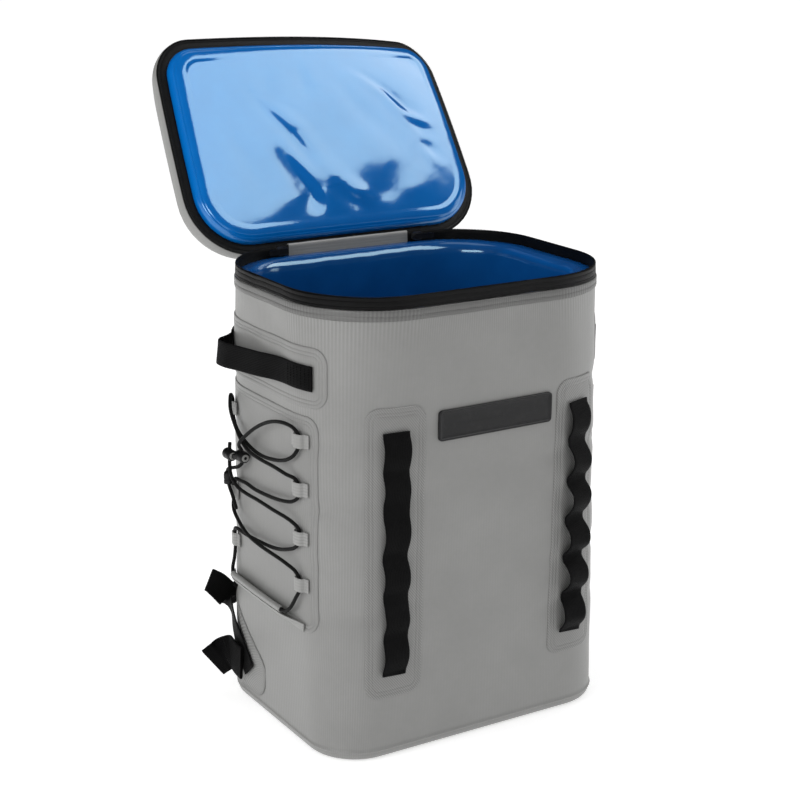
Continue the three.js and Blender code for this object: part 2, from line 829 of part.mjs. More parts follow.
function makePocket(side) {
  const top = hemHeight - hemRadius - gap;
  const stand = hemStandoff - onPatchLift;
  const frontSpots = [0, 0.33, 0.67].map((share) => THREE.MathUtils.lerp(pocketFront, hemFront, share));
  const rearSpots = [0.33, 0.67, 1].map((share) => THREE.MathUtils.lerp(hemRear, pocketRear, share));
  const spots = [...frontSpots, ...hemStations, ...rearSpots];
  const loops = spots.map((s) => {
    const row = ({ drop, stand: share }, extra) => {
      const lift = onPatchLift + share * stand * pocketFullness(s) + extra;
      return onWall(side, s, top - drop * pocketDepth, lift);
    };
    const inner = pocketRows.map((entry) => row(entry, 0));
    const outer = pocketRows.map((entry) => row(entry, pocketThickness));
    return [...inner, ...outer.reverse()];
  });
  addPiece(`side_pocket_${side}`, loft(loops), grey);

  const ring = (radius, s) => Array.from({ length: laceSides }, (_, j) => {
    const angle = (j + 0.5) / laceSides * 2 * Math.PI;
    const z = hemHeight + radius * Math.sin(angle);
    return onWall(side, s, hemHeight, hemStandoff + radius * Math.cos(angle)).setZ(z);
  });
  const outward = hemStations.map((s) => ring(hemRadius, s));
  const inward = hemStations.map((s) => ring(hemBoreRadius, s)).reverse();
  addPiece(`pocket_hem_${side}`, loft([...outward, ...inward], true), grey);
}

// Shock cord: one length laced through the loops and the hem, its two ends held by the cord locks.
// Each point is the place round the wall, the height and the distance out from the wall.
const laceRoute = [
  [60, 219.5, 7.5], [66, 233, 9.3], [74, 242.5, 11.7], [74, 257.5, 11.7], [67, 262.5, 11],
  [50, 269.5, 9], [44, 275, 7.8], [44, 281.8, 7.7], [44, 288.5, 8.2], [41, 294, 12],
  [33, 301, 15.4], [18, 314, 13], [-4, 328, 10.5], [-28, 338, 9.5], [-50, 342, 8],
  [-62, 340, 6], [-67, 334, 4.2], [-67, 322, 4.2], [-63, 313, 5.5], [-52, 305, 7.5],
  [-18, 297, 8], [12, 295, 7], [37, 299, 6.5], [58, 307, 6.3], [76, 317, 4.3],
  [78, 333, 4.3], [74, 339, 7], [62, 328, 11], [50, 311, 11.2], [36, 300, 11],
  [22, 294.5, 11], [-3, 292.5, 10.5], [-31, 292, 9], [-51, 290, 7], [-64, 288, 4.6],
  [-67, 282, 4.2], [-67, 271, 4.2], [-61, 265, 6], [-44, 260.5, 8], [15, 254, 7],
  [40, 254, 6], [56, 252, 5.4], [70, 249.5, 4.9], [78, 243, 4.3], [78, 225, 4.3],
  [70, 217, 6.5], [53, 209, 8.5], [31, 202.5, 10.3], [4, 199.5, 10.6], [-47, 196, 8],
  [-62, 190.5, 4.6], [-67, 183, 4.2], [-67, 174, 4.2], [-62, 163, 6], [-54, 151, 7.5],
  [-45, 144, 8.2], [-36, 142.5, 8], [62, 142.5, 8], [74, 142.5, 8], [81, 147, 6.5],
  [82, 157, 4.6], [79, 168, 4.2], [78, 174, 4.3], [77, 188, 4.3], [68, 196, 5.6],
  [40, 197.5, 6], [-20, 203, 6.2], [-46, 210, 7], [-62, 217, 5], [-67, 224, 4.2],
  [-67, 237.5, 4.3], [-59, 243, 6.5], [-24, 245.5, 9], [6, 246.5, 10], [33, 247, 11.5],
  [46, 250, 13.5], [55, 259, 15.3], [59, 269, 14.6], [60, 280.3, 13.6], [60, 289, 13.4],
  [61, 293, 12.5],
];

/** A curve that spends the same share of its parameter between each two of its points. */
class LaceCurve extends THREE.CatmullRomCurve3 {
  getPointAt(share, target) {
    return this.getPoint(share, target);
  }

  getTangentAt(share, target) {
    return this.getTangent(share, target);
  }
}

function makeLace(side) {
  const points = laceRoute.map(([s, z, lift]) => onWall(side, s, z, lift));
  const curve = new LaceCurve(points, false, 'centripetal');
  const section = Array.from({ length: laceSides }, (_, j) => {
    const angle = j / laceSides * 2 * Math.PI;
    const radius = laceDiameter / 2;
    return new THREE.Vector2(radius * Math.cos(angle), radius * Math.sin(angle));
  });
  const geometry = new THREE.ExtrudeGeometry(new THREE.Shape(section), {
    steps: points.length - 1,
    extrudePath: curve,
  });
  addPiece(`lace_cord_${side}`, geometry, black);
}

// Cord locks: a twin-barrel lock that grips both strands and a bell lower down on one of them

const barrels = [
  { name: 'near the wall', s: 44, z: 281.8, lift: 7.7 },
  { name: 'outer', s: 60, z: 280.3, lift: 13.6 },
];

// Along is a share of the barrel's length, radius a share of the barrel's radius.
const barrelProfile = [
  { along: -0.5, radius: 0 },
  { along: -0.5, radius: 0.6 },
  { along: -0.36, radius: 1 },
  { along: 0.36, radius: 1 },
  { along: 0.5, radius: 0.6 },
  { along: 0.5, radius: 0 },
];

function lathe(profile, segments) {
  return new THREE.LatheGeometry(profile.map(([x, y]) => new THREE.Vector2(x, y)), segments);
}

function makeBarrelLock(side) {
  const middles = barrels.map(({ s, z, lift }) => onWall(side, s, z, lift));
  const [inner, outer] = middles;
  const along = wallTangent(side, (barrels[0].s + barrels[1].s) / 2, barrels[0].z);
  const turn = new THREE.Matrix4().makeBasis(along.clone().cross(vector(0, 0, 1)), along, vector(0, 0, 1));
  const profile = barrelProfile.map(({ along: y, radius }) => [radius * barrelRadius, y * barrelLength]);
  let solid = null;
  for (const middle of middles) {
    const barrel = lathe(profile, barrelSides).applyMatrix4(turn);
    barrel.translate(...middle.toArray());
    solid = solid ? solid.add(toSolid(barrel)) : toSolid(barrel);
  }
  const reach = outer.clone().sub(inner);
  const web = new THREE.BoxGeometry(barrelRadius, reach.length(), barrelRadius);
  web.applyQuaternion(new THREE.Quaternion().setFromUnitVectors(vector(0, 1, 0), reach.clone().normalize()));
  web.translate(...inner.clone().lerp(outer, 0.5).toArray());
  solid = solid.add(toSolid(web));
  for (const middle of middles) {
    const bore = new THREE.CylinderGeometry(lockBoreRadius, lockBoreRadius, 3 * barrelRadius, laceSides);
    bore.rotateX(Math.PI / 2);
    bore.translate(...middle.toArray());
    solid = solid.subtract(toSolid(bore));
  }
  addPiece(`cord_lock_${side}_upper`, fromSolid(solid), blackPlastic);
}

function makeBellLock(side) {
  const half = bellLength / 2;
  const profile = [
    [lockBoreRadius, -half],
    [bellRadius, -half],
    [bellRadius, half * 0.7],
    [bellRadius * 0.8, half],
    [lockBoreRadius, half],
    [lockBoreRadius, -half],
  ];
  const bell = lathe(profile, barrelSides);
  bell.rotateX(Math.PI / 2);
  const piece = addPiece(`cord_lock_${side}_lower`, bell, blackPlastic);
  piece.position.copy(onWall(side, 74, 250, 11.7));
}

// Lower corners: a welded anchor patch that wraps the back corner, a strap and a belt tab

const strapLevel = anchorPatchBottom + anchorPatchHeight / 2;

/** The middle of the back corner, as a place round a side's wall. */
function cornerMiddle(side, z) {
  return flatHalf(side, z) + sectionAt(z).corner * Math.PI / 4;
}

// Place along the patch as a share of its reach, heights as shares of its height.
const anchorOutline = [
  { along: 0, low: 0.24, high: 0.36 },
  { along: 0.06, low: 0.12, high: 0.44 },
  { along: 0.18, low: 0.02, high: 0.53 },
  { along: 0.35, low: 0, high: 0.65 },
  { along: 0.6, low: 0, high: 0.86 },
  { along: 0.8, low: 0, high: 0.96 },
  { along: 1, low: 0, high: 1 },
];

function makeAnchorPatch(side) {
  const middle = cornerMiddle(side, strapLevel);
  const forward = anchorOutline.map(({ along, low, high }) => ({
    s: middle - (1 - along) * anchorPatchReach,
    low: anchorPatchBottom + low * anchorPatchHeight,
    high: anchorPatchBottom + high * anchorPatchHeight,
  }));
  const columns = [];
  const whole = [...forward, ...forward.slice(0, -1).reverse().map((c) => ({ ...c, s: 2 * middle - c.s }))];
  whole.forEach((column, i) => {
    columns.push(column);
    const next = whole[i + 1];
    if (next) {
      const cuts = Math.ceil((next.s - column.s) / wrapStep);
      for (let j = 1; j < cuts; j += 1) {
        const share = j / cuts;
        columns.push({
          s: THREE.MathUtils.lerp(column.s, next.s, share),
          low: THREE.MathUtils.lerp(column.low, next.low, share),
          high: THREE.MathUtils.lerp(column.high, next.high, share),
        });
      }
    }
  });
  addPiece(`anchor_patch_${side}`, wallSheet(side, columns, patchLift, sheetThickness), grey);
}

/** Mirrors a left-hand point for the right-hand side. */
function handed(side, x, y, z) {
  return vector(side === 'left' ? x : -x, y, z);
}

/** A place by a back corner: s from the corner's middle, z from the floor, in shares of the span. */
function byCorner(side, s, z, lift) {
  return onWall(side, cornerMiddle(side, strapLevel) + s * strapSpan, z * strapSpan, lift);
}

// The strap is sewn to the patch, climbs the corner, stands out beside the body where it folds over
// and goes back behind it to the ladder lock. Off is a share of the standoff from the patch. Across
// is the direction of the webbing's width: along the wall and up where it lies on it, in space
// where it is free.
const strapOnWall = [
  { s: -0.657, z: 0.4, off: 0.003, across: [-0.67, 0.74] },
  { s: -0.557, z: 0.51, off: 0.003, across: [-0.67, 0.74] },
  { s: -0.457, z: 0.62, off: 0.014, across: [-0.67, 0.74] },
  { s: -0.357, z: 0.73, off: 0.031, across: [-0.62, 0.78] },
  { s: -0.257, z: 0.84, off: 0.055, across: [-0.5, 0.86] },
  { s: -0.157, z: 0.92, off: 0.103, across: [-0.3, 0.95] },
  { s: -0.087, z: 0.98, off: 0.228, across: [-0.05, 1] },
];
const strapFree = [
  { s: -0.107, z: 1.06, off: 0.397, across: [0.3, 0.05, 0.95] },
  { s: -0.127, z: 1.15, off: 0.638, across: [0.36, 0.12, 0.92] },
  { s: -0.127, z: 1.21, off: 0.879, across: [0.48, 0.15, 0.86] },
  { s: -0.107, z: 1.21, off: 1, across: [0.48, 0.1, 0.87] },
  { s: -0.067, z: 1.18, off: 0.983, across: [0.45, 0.1, 0.88] },
  { s: 0.023, z: 1.09, off: 0.793, across: [0.3, 0.1, 0.94] },
  { s: 0.153, z: 0.92, off: 0.569, across: [0.1, 0, 1] },
  { s: 0.323, z: 1.04, off: 0.552, across: [-0.45, -0.1, 0.88] },
  { s: 0.463, z: 1.28, off: 0.707, across: [-0.75, 0, 0.65] },
  { s: 0.563, z: 1.54, off: 0.845, across: [-0.9, 0, 0.4] },
  { s: 0.643, z: 1.77, off: 0.897, across: [-0.94, 0, 0.33] },
];

function makeStrapWebbing(side) {
  const base = onPatchLift + gap + webbingThickness / 2;
  const sewn = strapOnWall.map(({ s, z, off, across: [tangentShare, up] }) => {
    const place = cornerMiddle(side, strapLevel) + s * strapSpan;
    const tangent = wallTangent(side, place, z * strapSpan);
    return {
      centre: byCorner(side, s, z, base + off * strapStandoff),
      across: tangent.multiplyScalar(tangentShare).setZ(up),
    };
  });
  const free = strapFree.map(({ s, z, off, across }) => ({
    centre: byCorner(side, s, z, base + off * strapStandoff),
    across: handed(side, ...across),
  }));
  const stations = [...sewn, ...free];
  addPiece(`strap_webbing_${side}`, ribbon(stations, strapWebbingWidth, webbingThickness), black);
}

// The belt tab is a doubled end of webbing, sewn over the end of the strap and bent out sideways.
const beltTabPath = [
  { s: -0.557, z: 0.45, off: 0.13, across: [0, 0, 1] },
  { s: -0.457, z: 0.46, off: 0.148, across: [0, 0, 1] },
  { s: -0.377, z: 0.47, off: 0.148, across: [0, 0, 1] },
  { s: -0.297, z: 0.465, off: 0.157, across: [0, 0, 1] },
  { s: -0.257, z: 0.445, off: 0.252, across: [-0.03, 0, 1] },
  { s: -0.217, z: 0.41, off: 0.435, across: [-0.08, 0, 1] },
  { s: -0.207, z: 0.365, off: 0.687, across: [-0.15, 0, 0.99] },
  { s: -0.202, z: 0.31, off: 1, across: [-0.23, 0, 0.97] },
];

function makeBeltTab(side) {
  const base = onPatchLift + gap + webbingThickness;
  const stations = beltTabPath.map(({ s, z, off, across }) => ({
    centre: byCorner(side, s, z, base + off * beltTabReach),
    across: handed(side, ...across),
  }));
  addPiece(`belt_tab_${side}`, ribbon(stations, beltTabWidth, 2 * webbingThickness), black);
}

// Shoulder straps on the back

function makeYoke() {
  const columns = roundedColumns(
    'back',
    -yokeWidth / 2,
    yokeWidth / 2,
    yokeCentreZ - yokeHeight / 2,
    yokeCentreZ + yokeHeight / 2,
    yokeCorner,
  );
  addPiece('strap_yoke', wallSheet('back', columns, patchLift, sheetThickness), grey);
}

// Rows of the pad's middle line: across is a share of its spread from the middle of the back, down of
// its length, off of its standoff from the yoke and thick of its thickness.
const padPath = [
  { across: 0.675, down: 0, off: 0.108, thick: 0.4 },
  { across: 0.681, down: 0.094, off: 0.162, thick: 0.6 },
  { across: 0.7, down: 0.188, off: 0.423, thick: 1 },
  { across: 0.75, down: 0.342, off: 0.692, thick: 1 },
  { across: 0.812, down: 0.556, off: 0.923, thick: 1 },
  { across: 0.887, down: 0.769, off: 1, thick: 1 },
  { across: 0.963, down: 0.932, off: 1, thick: 0.9 },
  { across: 1, down: 1, off: 1, thick: 0.5 },
];
const padTopZ = yokeCentreZ + padRise;
const padLength = padTopZ - padFootZ;
const padLevel = onPatchLift + padStandoff;

/** A place off the back wall, across towards the side that is named. */
function offBack(side, across, z, lift) {
  return onWall('back', side === 'left' ? -across : across, z, lift);
}

function makeShoulderPad(side) {
  const centres = padPath.map(({ across, down, off }) => (
    offBack(side, across * padSpread, padTopZ - down * padLength, onPatchLift + off * padStandoff)
  ));
  const loops = centres.map((centre, i) => {
    const before = centres[Math.max(i - 1, 0)];
    const after = centres[Math.min(i + 1, centres.length - 1)];
    const along = after.clone().sub(before).normalize();
    const across = vector(1, 0, 0).addScaledVector(along, -along.x).normalize();
    const normal = along.clone().cross(across);
    const half = padPath[i].thick * padThickness / 2;
    const outline = roundedLoop(padWidth / 2, half, half * 0.9, 2);
    return outline.map(([w, t]) => centre.clone()
      .addScaledVector(across, w)
      .addScaledVector(normal, t));
  });
  addPiece(`shoulder_pad_${side}`, loft(loops), black);
}

function makeLadderLock(side) {
  const outline = roundedLoop(ladderLockWidth / 2, ladderLockHeight / 2, ladderLockBar, 2);
  const shape = new THREE.Shape(outline.map(([x, y]) => new THREE.Vector2(x, y)));
  const frame = new THREE.ExtrudeGeometry(shape, {
    depth: ladderLockThickness,
    bevelEnabled: false,
  });
  frame.translate(0, 0, -ladderLockThickness / 2);
  let solid = toSolid(frame);
  const slotWidth = ladderLockWidth - 2 * ladderLockBar;
  const slotHeight = (ladderLockHeight - 3 * ladderLockBar) / 2;
  for (const row of [-1, 1]) {
    const slot = new THREE.BoxGeometry(slotWidth, slotHeight, 2 * ladderLockThickness);
    slot.translate(0, row * (slotHeight + ladderLockBar) / 2, 0);
    solid = solid.subtract(toSolid(slot));
  }
  const lock = addPiece(`ladder_lock_${side}`, fromSolid(solid), blackPlastic);
  lock.rotation.set(Math.PI / 2, 0, side === 'left' ? -ladderLockTurn : ladderLockTurn);
  const place = padSpread + ladderLockBar + seatGap;
  const height = padFootZ - ladderLockHeight / 2 - ladderLockSeat;
  lock.position.copy(offBack(side, place, height, padLevel));
}

makeBodyShell();
makeBodyLiner();
makeRimBand();
makeMouthTape();
makeHingePanel();
makeLidShell();
makeLidTape();
makeLidLiner();
makeZipEnd('left', -1);
makeZipEnd('right', 1);
makeLabel();
ladders.forEach(makeLadder);
makeYoke();
for (const side of ['left', 'right']) {
  makeHandle(side);
  makeLacePatch(side);
  makeLaceLoops(side);
  makePocket(side);
  makeLace(side);
  makeBarrelLock(side);
  makeBellLock(side);
  makeAnchorPatch(side);
  makeStrapWebbing(side);
  makeBeltTab(side);
  makeShoulderPad(side);
  makeLadderLock(side);
}

export default model;
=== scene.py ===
# %% [markdown]
# # A soft cooler carried as a backpack
# The bag stands with its padded lid hinged open at the back. Every piece here is built around a
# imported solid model, the frame, so each one takes its place from the same sizes as the solids.
# Blender works in metres and the sizes below are in millimetres, so points are scaled once, when a
# mesh is made.

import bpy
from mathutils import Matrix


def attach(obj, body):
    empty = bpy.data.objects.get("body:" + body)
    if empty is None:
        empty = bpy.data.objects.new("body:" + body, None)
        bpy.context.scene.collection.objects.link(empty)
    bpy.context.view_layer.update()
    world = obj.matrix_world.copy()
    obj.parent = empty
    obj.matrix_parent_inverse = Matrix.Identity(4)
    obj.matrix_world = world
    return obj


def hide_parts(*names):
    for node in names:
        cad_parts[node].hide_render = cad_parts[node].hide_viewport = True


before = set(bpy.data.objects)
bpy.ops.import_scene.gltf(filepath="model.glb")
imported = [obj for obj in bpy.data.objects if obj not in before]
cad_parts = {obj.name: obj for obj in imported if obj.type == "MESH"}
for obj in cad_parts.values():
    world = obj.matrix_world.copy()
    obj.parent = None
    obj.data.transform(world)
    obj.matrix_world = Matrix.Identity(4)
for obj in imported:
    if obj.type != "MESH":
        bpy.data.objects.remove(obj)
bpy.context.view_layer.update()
print("solids", len(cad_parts))

# %% Working tools
import math

import bmesh
import bpy
import numpy as np
from mathutils import Matrix, Vector

mm = 0.001

# %% [markdown]
# ## The camera
# The photograph was taken from the front left with a long lens, so upright edges stay nearly
# parallel. The angles and the distance were solved from the bag's own corners. A camera can be
# turned with angles or given its three axes as a matrix. The axes are used here, because the small
# roll is then one rotation of two of them.

# %% Camera
view_azimuth, view_elevation, view_roll = np.radians([-31.577, 16.217, 0.212])
view_distance = 1.833
view_target = np.array([-0.0183, 0.0, 0.3285])
lens_length = 79.51
sensor_width = 36.0

toward_eye = np.array([
    math.sin(view_azimuth) * math.cos(view_elevation),
    -math.cos(view_azimuth) * math.cos(view_elevation),
    math.sin(view_elevation),
])
level = np.cross([0, 0, 1], toward_eye)
level /= np.linalg.norm(level)
upright = np.cross(toward_eye, level)
camera_right = level * math.cos(view_roll) + upright * math.sin(view_roll)
camera_up = upright * math.cos(view_roll) - level * math.sin(view_roll)

camera = bpy.data.objects.new("camera", bpy.data.cameras.new("camera"))
bpy.context.collection.objects.link(camera)
camera.data.lens = lens_length
camera.data.sensor_width = sensor_width
axes = Matrix(np.array([camera_right, camera_up, toward_eye]).T.tolist()).to_4x4()
axes.translation = Vector(view_target + toward_eye * view_distance)
camera.matrix_world = axes
bpy.context.scene.camera = camera
print("camera at", [round(x, 3) for x in camera.location])

# %% [markdown]
# ## Sizes of the bag
# The wall is a rounded rectangle that grows and rounds from the base to the rim. Everything on the
# outside is placed in wall coordinates: which face, how far round from its middle, how high, and
# how far off the wall. One function turns those into a point, so patches, webbing and cord stay on
# the wall when it bends.

# %% Sizes
base_width, base_depth, base_corner = 340, 255, 54
rim_width, rim_depth, rim_corner = 345.5, 275, 95
mouth_height = 474
wall_padding, floor_padding = 20, 22
tape_height, tape_thickness = 12, 1.6
clearance, seat = 0.3, 0.5
sheet_thickness, webbing_thickness = 1.2, 1.8
patch_lift = seat
on_patch = patch_lift + sheet_thickness + seat
shell_top = mouth_height - tape_height - clearance

# %% Wall coordinates
wall_faces = {
    "front": ((1, 0), (0, -1)),
    "back": ((1, 0), (0, 1)),
    "left": ((0, 1), (-1, 0)),
    "right": ((0, 1), (1, 0)),
}


def mix(start, end, share):
    return start + (end - start) * share


def smooth(value, start, end):
    share = np.clip((np.asarray(value, float) - start) / (end - start), 0, 1)
    return share * share * (3 - 2 * share)


def section_at(z):
    share = np.asarray(z, float) / mouth_height
    return (
        mix(base_width, rim_width, share),
        mix(base_depth, rim_depth, share),
        mix(base_corner, rim_corner, share),
    )


corner_dents = [(332, 1.8), (266, 2.4), (206, 1.1), (153, 2.2), (96, 1.0)]


def swell(x, y, z):
    """How far the padded wall stands out or dents in, in millimetres."""
    turn = np.arctan2(x / rim_width, -y / rim_depth)
    waist = np.sin(np.pi * np.clip(z / mouth_height, 0, 1))
    near_corner = np.abs(np.sin(2 * turn)) ** 3
    flat_part = 1 - near_corner
    crowned = 1.3 * flat_part * waist
    puckers = 0.6 * near_corner * waist * np.sin(z / 15 + 1.7 * np.sin(3 * turn))
    for height, depth in corner_dents:
        middle = height + 25 * np.sin(turn + np.pi / 4)
        puckers = puckers - depth * near_corner * np.exp(-((z - middle) / 8) ** 2)
    rolling = 0.5 * waist * np.sin(z / 47 + 2.3 * turn) * np.sin(3 * turn + z / 83)
    under_rim = 0.7 * smooth(z, 330, 400) * (1 - smooth(z, 440, 462))
    ripples = under_rim * np.sin(11 * turn + z / 16) * flat_part
    return (crowned + puckers + rolling + ripples) * smooth(z, 12, 40)


def on_wall(face, s, z, lift):
    """Points on a face: s round the wall from its middle, z up, lift off the wall."""
    s, z, lift = np.broadcast_arrays(*(np.asarray(value, float) for value in (s, z, lift)))
    (along_x, along_y), (out_x, out_y) = wall_faces[face]
    width, depth, corner = section_at(z)
    across, through = (width, depth) if face in ("front", "back") else (depth, width)
    flat = across / 2 - corner
    past_flat = np.maximum(np.abs(s) - flat, 0)
    angle = np.minimum(past_flat / corner, np.pi / 2)
    past_corner = past_flat - angle * corner

    def place(radius):
        run = np.sign(s) * (np.minimum(np.abs(s), flat) + radius * np.sin(angle))
        rise = through / 2 - corner + radius * np.cos(angle) - past_corner
        return along_x * run + out_x * rise, along_y * run + out_y * rise

    x, y = place(corner)
    x, y = place(corner + lift + swell(x, y, z))
    return np.stack([x, y, z], axis=-1)


def wall_tangent(face, s, z):
    step = on_wall(face, np.asarray(s) + 0.5, z, 0) - on_wall(face, np.asarray(s) - 0.5, z, 0)
    return step / np.linalg.norm(step, axis=-1, keepdims=True)


print("front middle", on_wall("front", 0, 237, 0).round(1))

# %% [markdown]
# ## Making meshes
# Nearly every part of a sewn bag is a skin between closed loops: a wall goes round the bag, a patch
# goes round its outline, webbing goes round its own cross section. So one function skins a stack of
# loops into a closed mesh and gives it a UV map in millimetres. The weave of a cloth is drawn from
# that map, which keeps every thread the same size on every piece.

# %% Skins
weave_map = "weave"


def make_piece(name, points, faces, corners=None, sharp=40):
    """A mesh object from points in millimetres, with a weave map where corners gives one."""
    mesh = bpy.data.meshes.new(name)
    mesh.from_pydata((np.asarray(points) * mm).tolist(), [], faces)
    if corners is not None:
        layer = mesh.uv_layers.new(name=weave_map)
        layer.data.foreach_set("uv", np.asarray(corners, np.float32).ravel())
    work = bmesh.new()
    work.from_mesh(mesh)
    bmesh.ops.recalc_face_normals(work, faces=work.faces)
    work.to_mesh(mesh)
    work.free()
    mesh.shade_smooth()
    mesh.set_sharp_from_angle(angle=math.radians(sharp))
    piece = bpy.data.objects.new(name, mesh)
    bpy.context.collection.objects.link(piece)
    return piece


def skin(name, loops, around=None, along=None, ring=False, sharp=40):
    """Skins loops (rows, points, 3). around and along are the weave map's coordinates."""
    loops = np.asarray(loops, float)
    rows, count, _ = loops.shape
    if around is None:
        steps = np.linalg.norm(np.roll(loops[rows // 2], -1, 0) - loops[rows // 2], axis=1)
        around = np.concatenate([[0], np.cumsum(steps)])
    if along is None:
        steps = np.linalg.norm(np.diff(loops, axis=0), axis=2).mean(axis=1)
        along = np.concatenate([[0], np.cumsum(steps)])
    around = np.broadcast_to(around, (rows, count + 1))
    along = np.broadcast_to(np.asarray(along, float).reshape(rows, -1), (rows, count + 1))
    faces, corners = [], []
    for i in range(rows if ring else rows - 1):
        j = (i + 1) % rows
        for k in range(count):
            n = (k + 1) % count
            faces.append((i * count + k, i * count + n, j * count + n, j * count + k))
            for row, place in ((i, k), (i, k + 1), (j, k + 1), (j, k)):
                corners.append((around[row][place], along[row][place]))
    if not ring:
        for row in (0, rows - 1):
            faces.append(tuple(row * count + k for k in range(count)))
            corners += [(around[row][k], along[row][k]) for k in range(count)]
    return make_piece(name, loops.reshape(-1, 3), faces, corners, sharp)


def join_pieces(name, pieces):
    """Joins several pieces of one material into one."""
    work = bmesh.new()
    for piece in pieces:
        work.from_mesh(piece.data)
        mesh = piece.data
        bpy.data.objects.remove(piece)
        bpy.data.meshes.remove(mesh)
    mesh = bpy.data.meshes.new(name)
    work.to_mesh(mesh)
    work.free()
    joined = bpy.data.objects.new(name, mesh)
    bpy.context.collection.objects.link(joined)
    return joined


def fit(piece, finish, slot, *nodes):
    """Gives a finished piece its material and hides the solids that it stands for. The slot is not
    used.
    """
    piece.data.materials.clear()
    piece.data.materials.append(finish)
    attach(piece, "root")
    if nodes:
        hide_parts(*nodes)
    low, high = np.array(piece.bound_box).min(0), np.array(piece.bound_box).max(0)
    print(piece.name, len(piece.data.polygons), "faces,", ((high - low) / mm).round(0), "mm")
    return piece


# %% [markdown]
# ## Shader arithmetic
# A pattern is a sum: threads plus ribs plus a little unevenness. Wiring that by hand takes dozens
# of Math nodes, so a small class wraps a socket and turns `a + b` into a node. Colours go through
# Mix nodes instead, because a Math node would turn them grey.


# %% Readings and finishes
class Reading:
    """One output of a node, with arithmetic."""

    def __init__(self, finish, socket):
        self.finish = finish
        self.socket = socket

    def math(self, operation, *values):
        inputs = dict(enumerate(values))
        return self.finish.node("ShaderNodeMath", {"operation": operation}, inputs)

    def __add__(self, other):
        return self.math("ADD", self, other)

    def __radd__(self, other):
        return self.math("ADD", other, self)

    def __sub__(self, other):
        return self.math("SUBTRACT", self, other)

    def __rsub__(self, other):
        return self.math("SUBTRACT", other, self)

    def __mul__(self, other):
        return self.math("MULTIPLY", self, other)

    def __rmul__(self, other):
        return self.math("MULTIPLY", other, self)

    def __truediv__(self, other):
        return self.math("DIVIDE", self, other)

    def __rtruediv__(self, other):
        return self.math("DIVIDE", other, self)

    def __abs__(self):
        return self.math("ABSOLUTE", self)

    def wave(self, pitch, shift=0.0):
        """From -1 to 1 and back once each pitch."""
        return (self * (2 * math.pi / pitch) + shift).math_of("SINE")

    def math_of(self, operation):
        return self.math(operation, self)

    def between(self, low, high):
        """0 below low, 1 above high, smooth in between."""
        settings = {"interpolation_type": "SMOOTHSTEP"}
        inputs = {"Value": self, "From Min": low, "From Max": high}
        return self.finish.node("ShaderNodeMapRange", settings, inputs)


class Finish:
    """One material: its shader, and the nodes that its patterns are made of."""

    def __init__(self, name, steady):
        self.material = bpy.data.materials.new(name)
        self.material.use_nodes = True
        self.tree = self.material.node_tree
        self.shader = self.tree.nodes["Principled BSDF"]
        for socket, value in steady.items():
            self.shader.inputs[socket].default_value = value

    def join(self, value, socket):
        if isinstance(value, Reading):
            self.tree.links.new(value.socket, socket)
        else:
            socket.default_value = value

    def node(self, kind, settings=None, inputs=None, out=0):
        made = self.tree.nodes.new(kind)
        for key, value in (settings or {}).items():
            setattr(made, key, value)
        for key, value in (inputs or {}).items():
            self.join(value, made.inputs[key])
        return Reading(self, made.outputs[out])

    def cloth_place(self):
        """Across and along the cloth, in millimetres, from the weave map."""
        place = self.node("ShaderNodeUVMap", {"uv_map": weave_map})
        across = self.node("ShaderNodeSeparateXYZ", None, {0: place}, 0)
        along = self.node("ShaderNodeSeparateXYZ", None, {0: place}, 1)
        return across, along

    def cloud(self, size, detail=2.0, rough=0.5):
        """Soft unevenness whose lumps are about size millimetres."""
        place = self.node("ShaderNodeTexCoord", None, None, "Object")
        inputs = {"Vector": place, "Scale": 1 / (size * mm), "Detail": detail, "Roughness": rough}
        return self.node("ShaderNodeTexNoise", None, inputs)

    def tint(self, share, first, second):
        settings = {"data_type": "RGBA"}
        return self.node("ShaderNodeMix", settings, {0: share, 6: first, 7: second}, 2)

    def relief(self, height, depth):
        """Feeds a height from 0 to 1 to the shader's normal, depth millimetres deep."""
        inputs = {"Height": height, "Distance": depth * mm, "Strength": 1.0}
        self.join(self.node("ShaderNodeBump", None, inputs), self.shader.inputs["Normal"])

    def wear(self, colour=None, roughness=None):
        if colour is not None:
            self.join(colour, self.shader.inputs["Base Color"])
        if roughness is not None:
            self.join(roughness, self.shader.inputs["Roughness"])
        return self.material


# %% [markdown]
# ## The coated cloth
# The body is polyester cloth under a satin coating, so the threads are only just seen through it.
# Where two layers are welded together the die leaves its own pattern: fine upright ribs near the
# corners and a slanted hatch on the patches. All three are waves of the weave map, whose pitches
# are in millimetres. They move the surface by about a tenth of a millimetre, and the colour follows
# them: painted shade in their valleys and a painted highlight on their crests. The ribs are
# strongest out at the sides and up under the rim, where the cloth was worked, and those two places
# are heights and distances in metres, as the object has them.

# %% Coated cloth
thread_pitch, rib_pitch, hatch_pitch = 1.15, 3.1, 2.5
worked_sides, worked_top = (0.115, 0.15), (0.415, 0.45)


def grey(share):
    """A grey that is a little warm, as the coating is."""
    return (share, share, share * 0.975, 1)


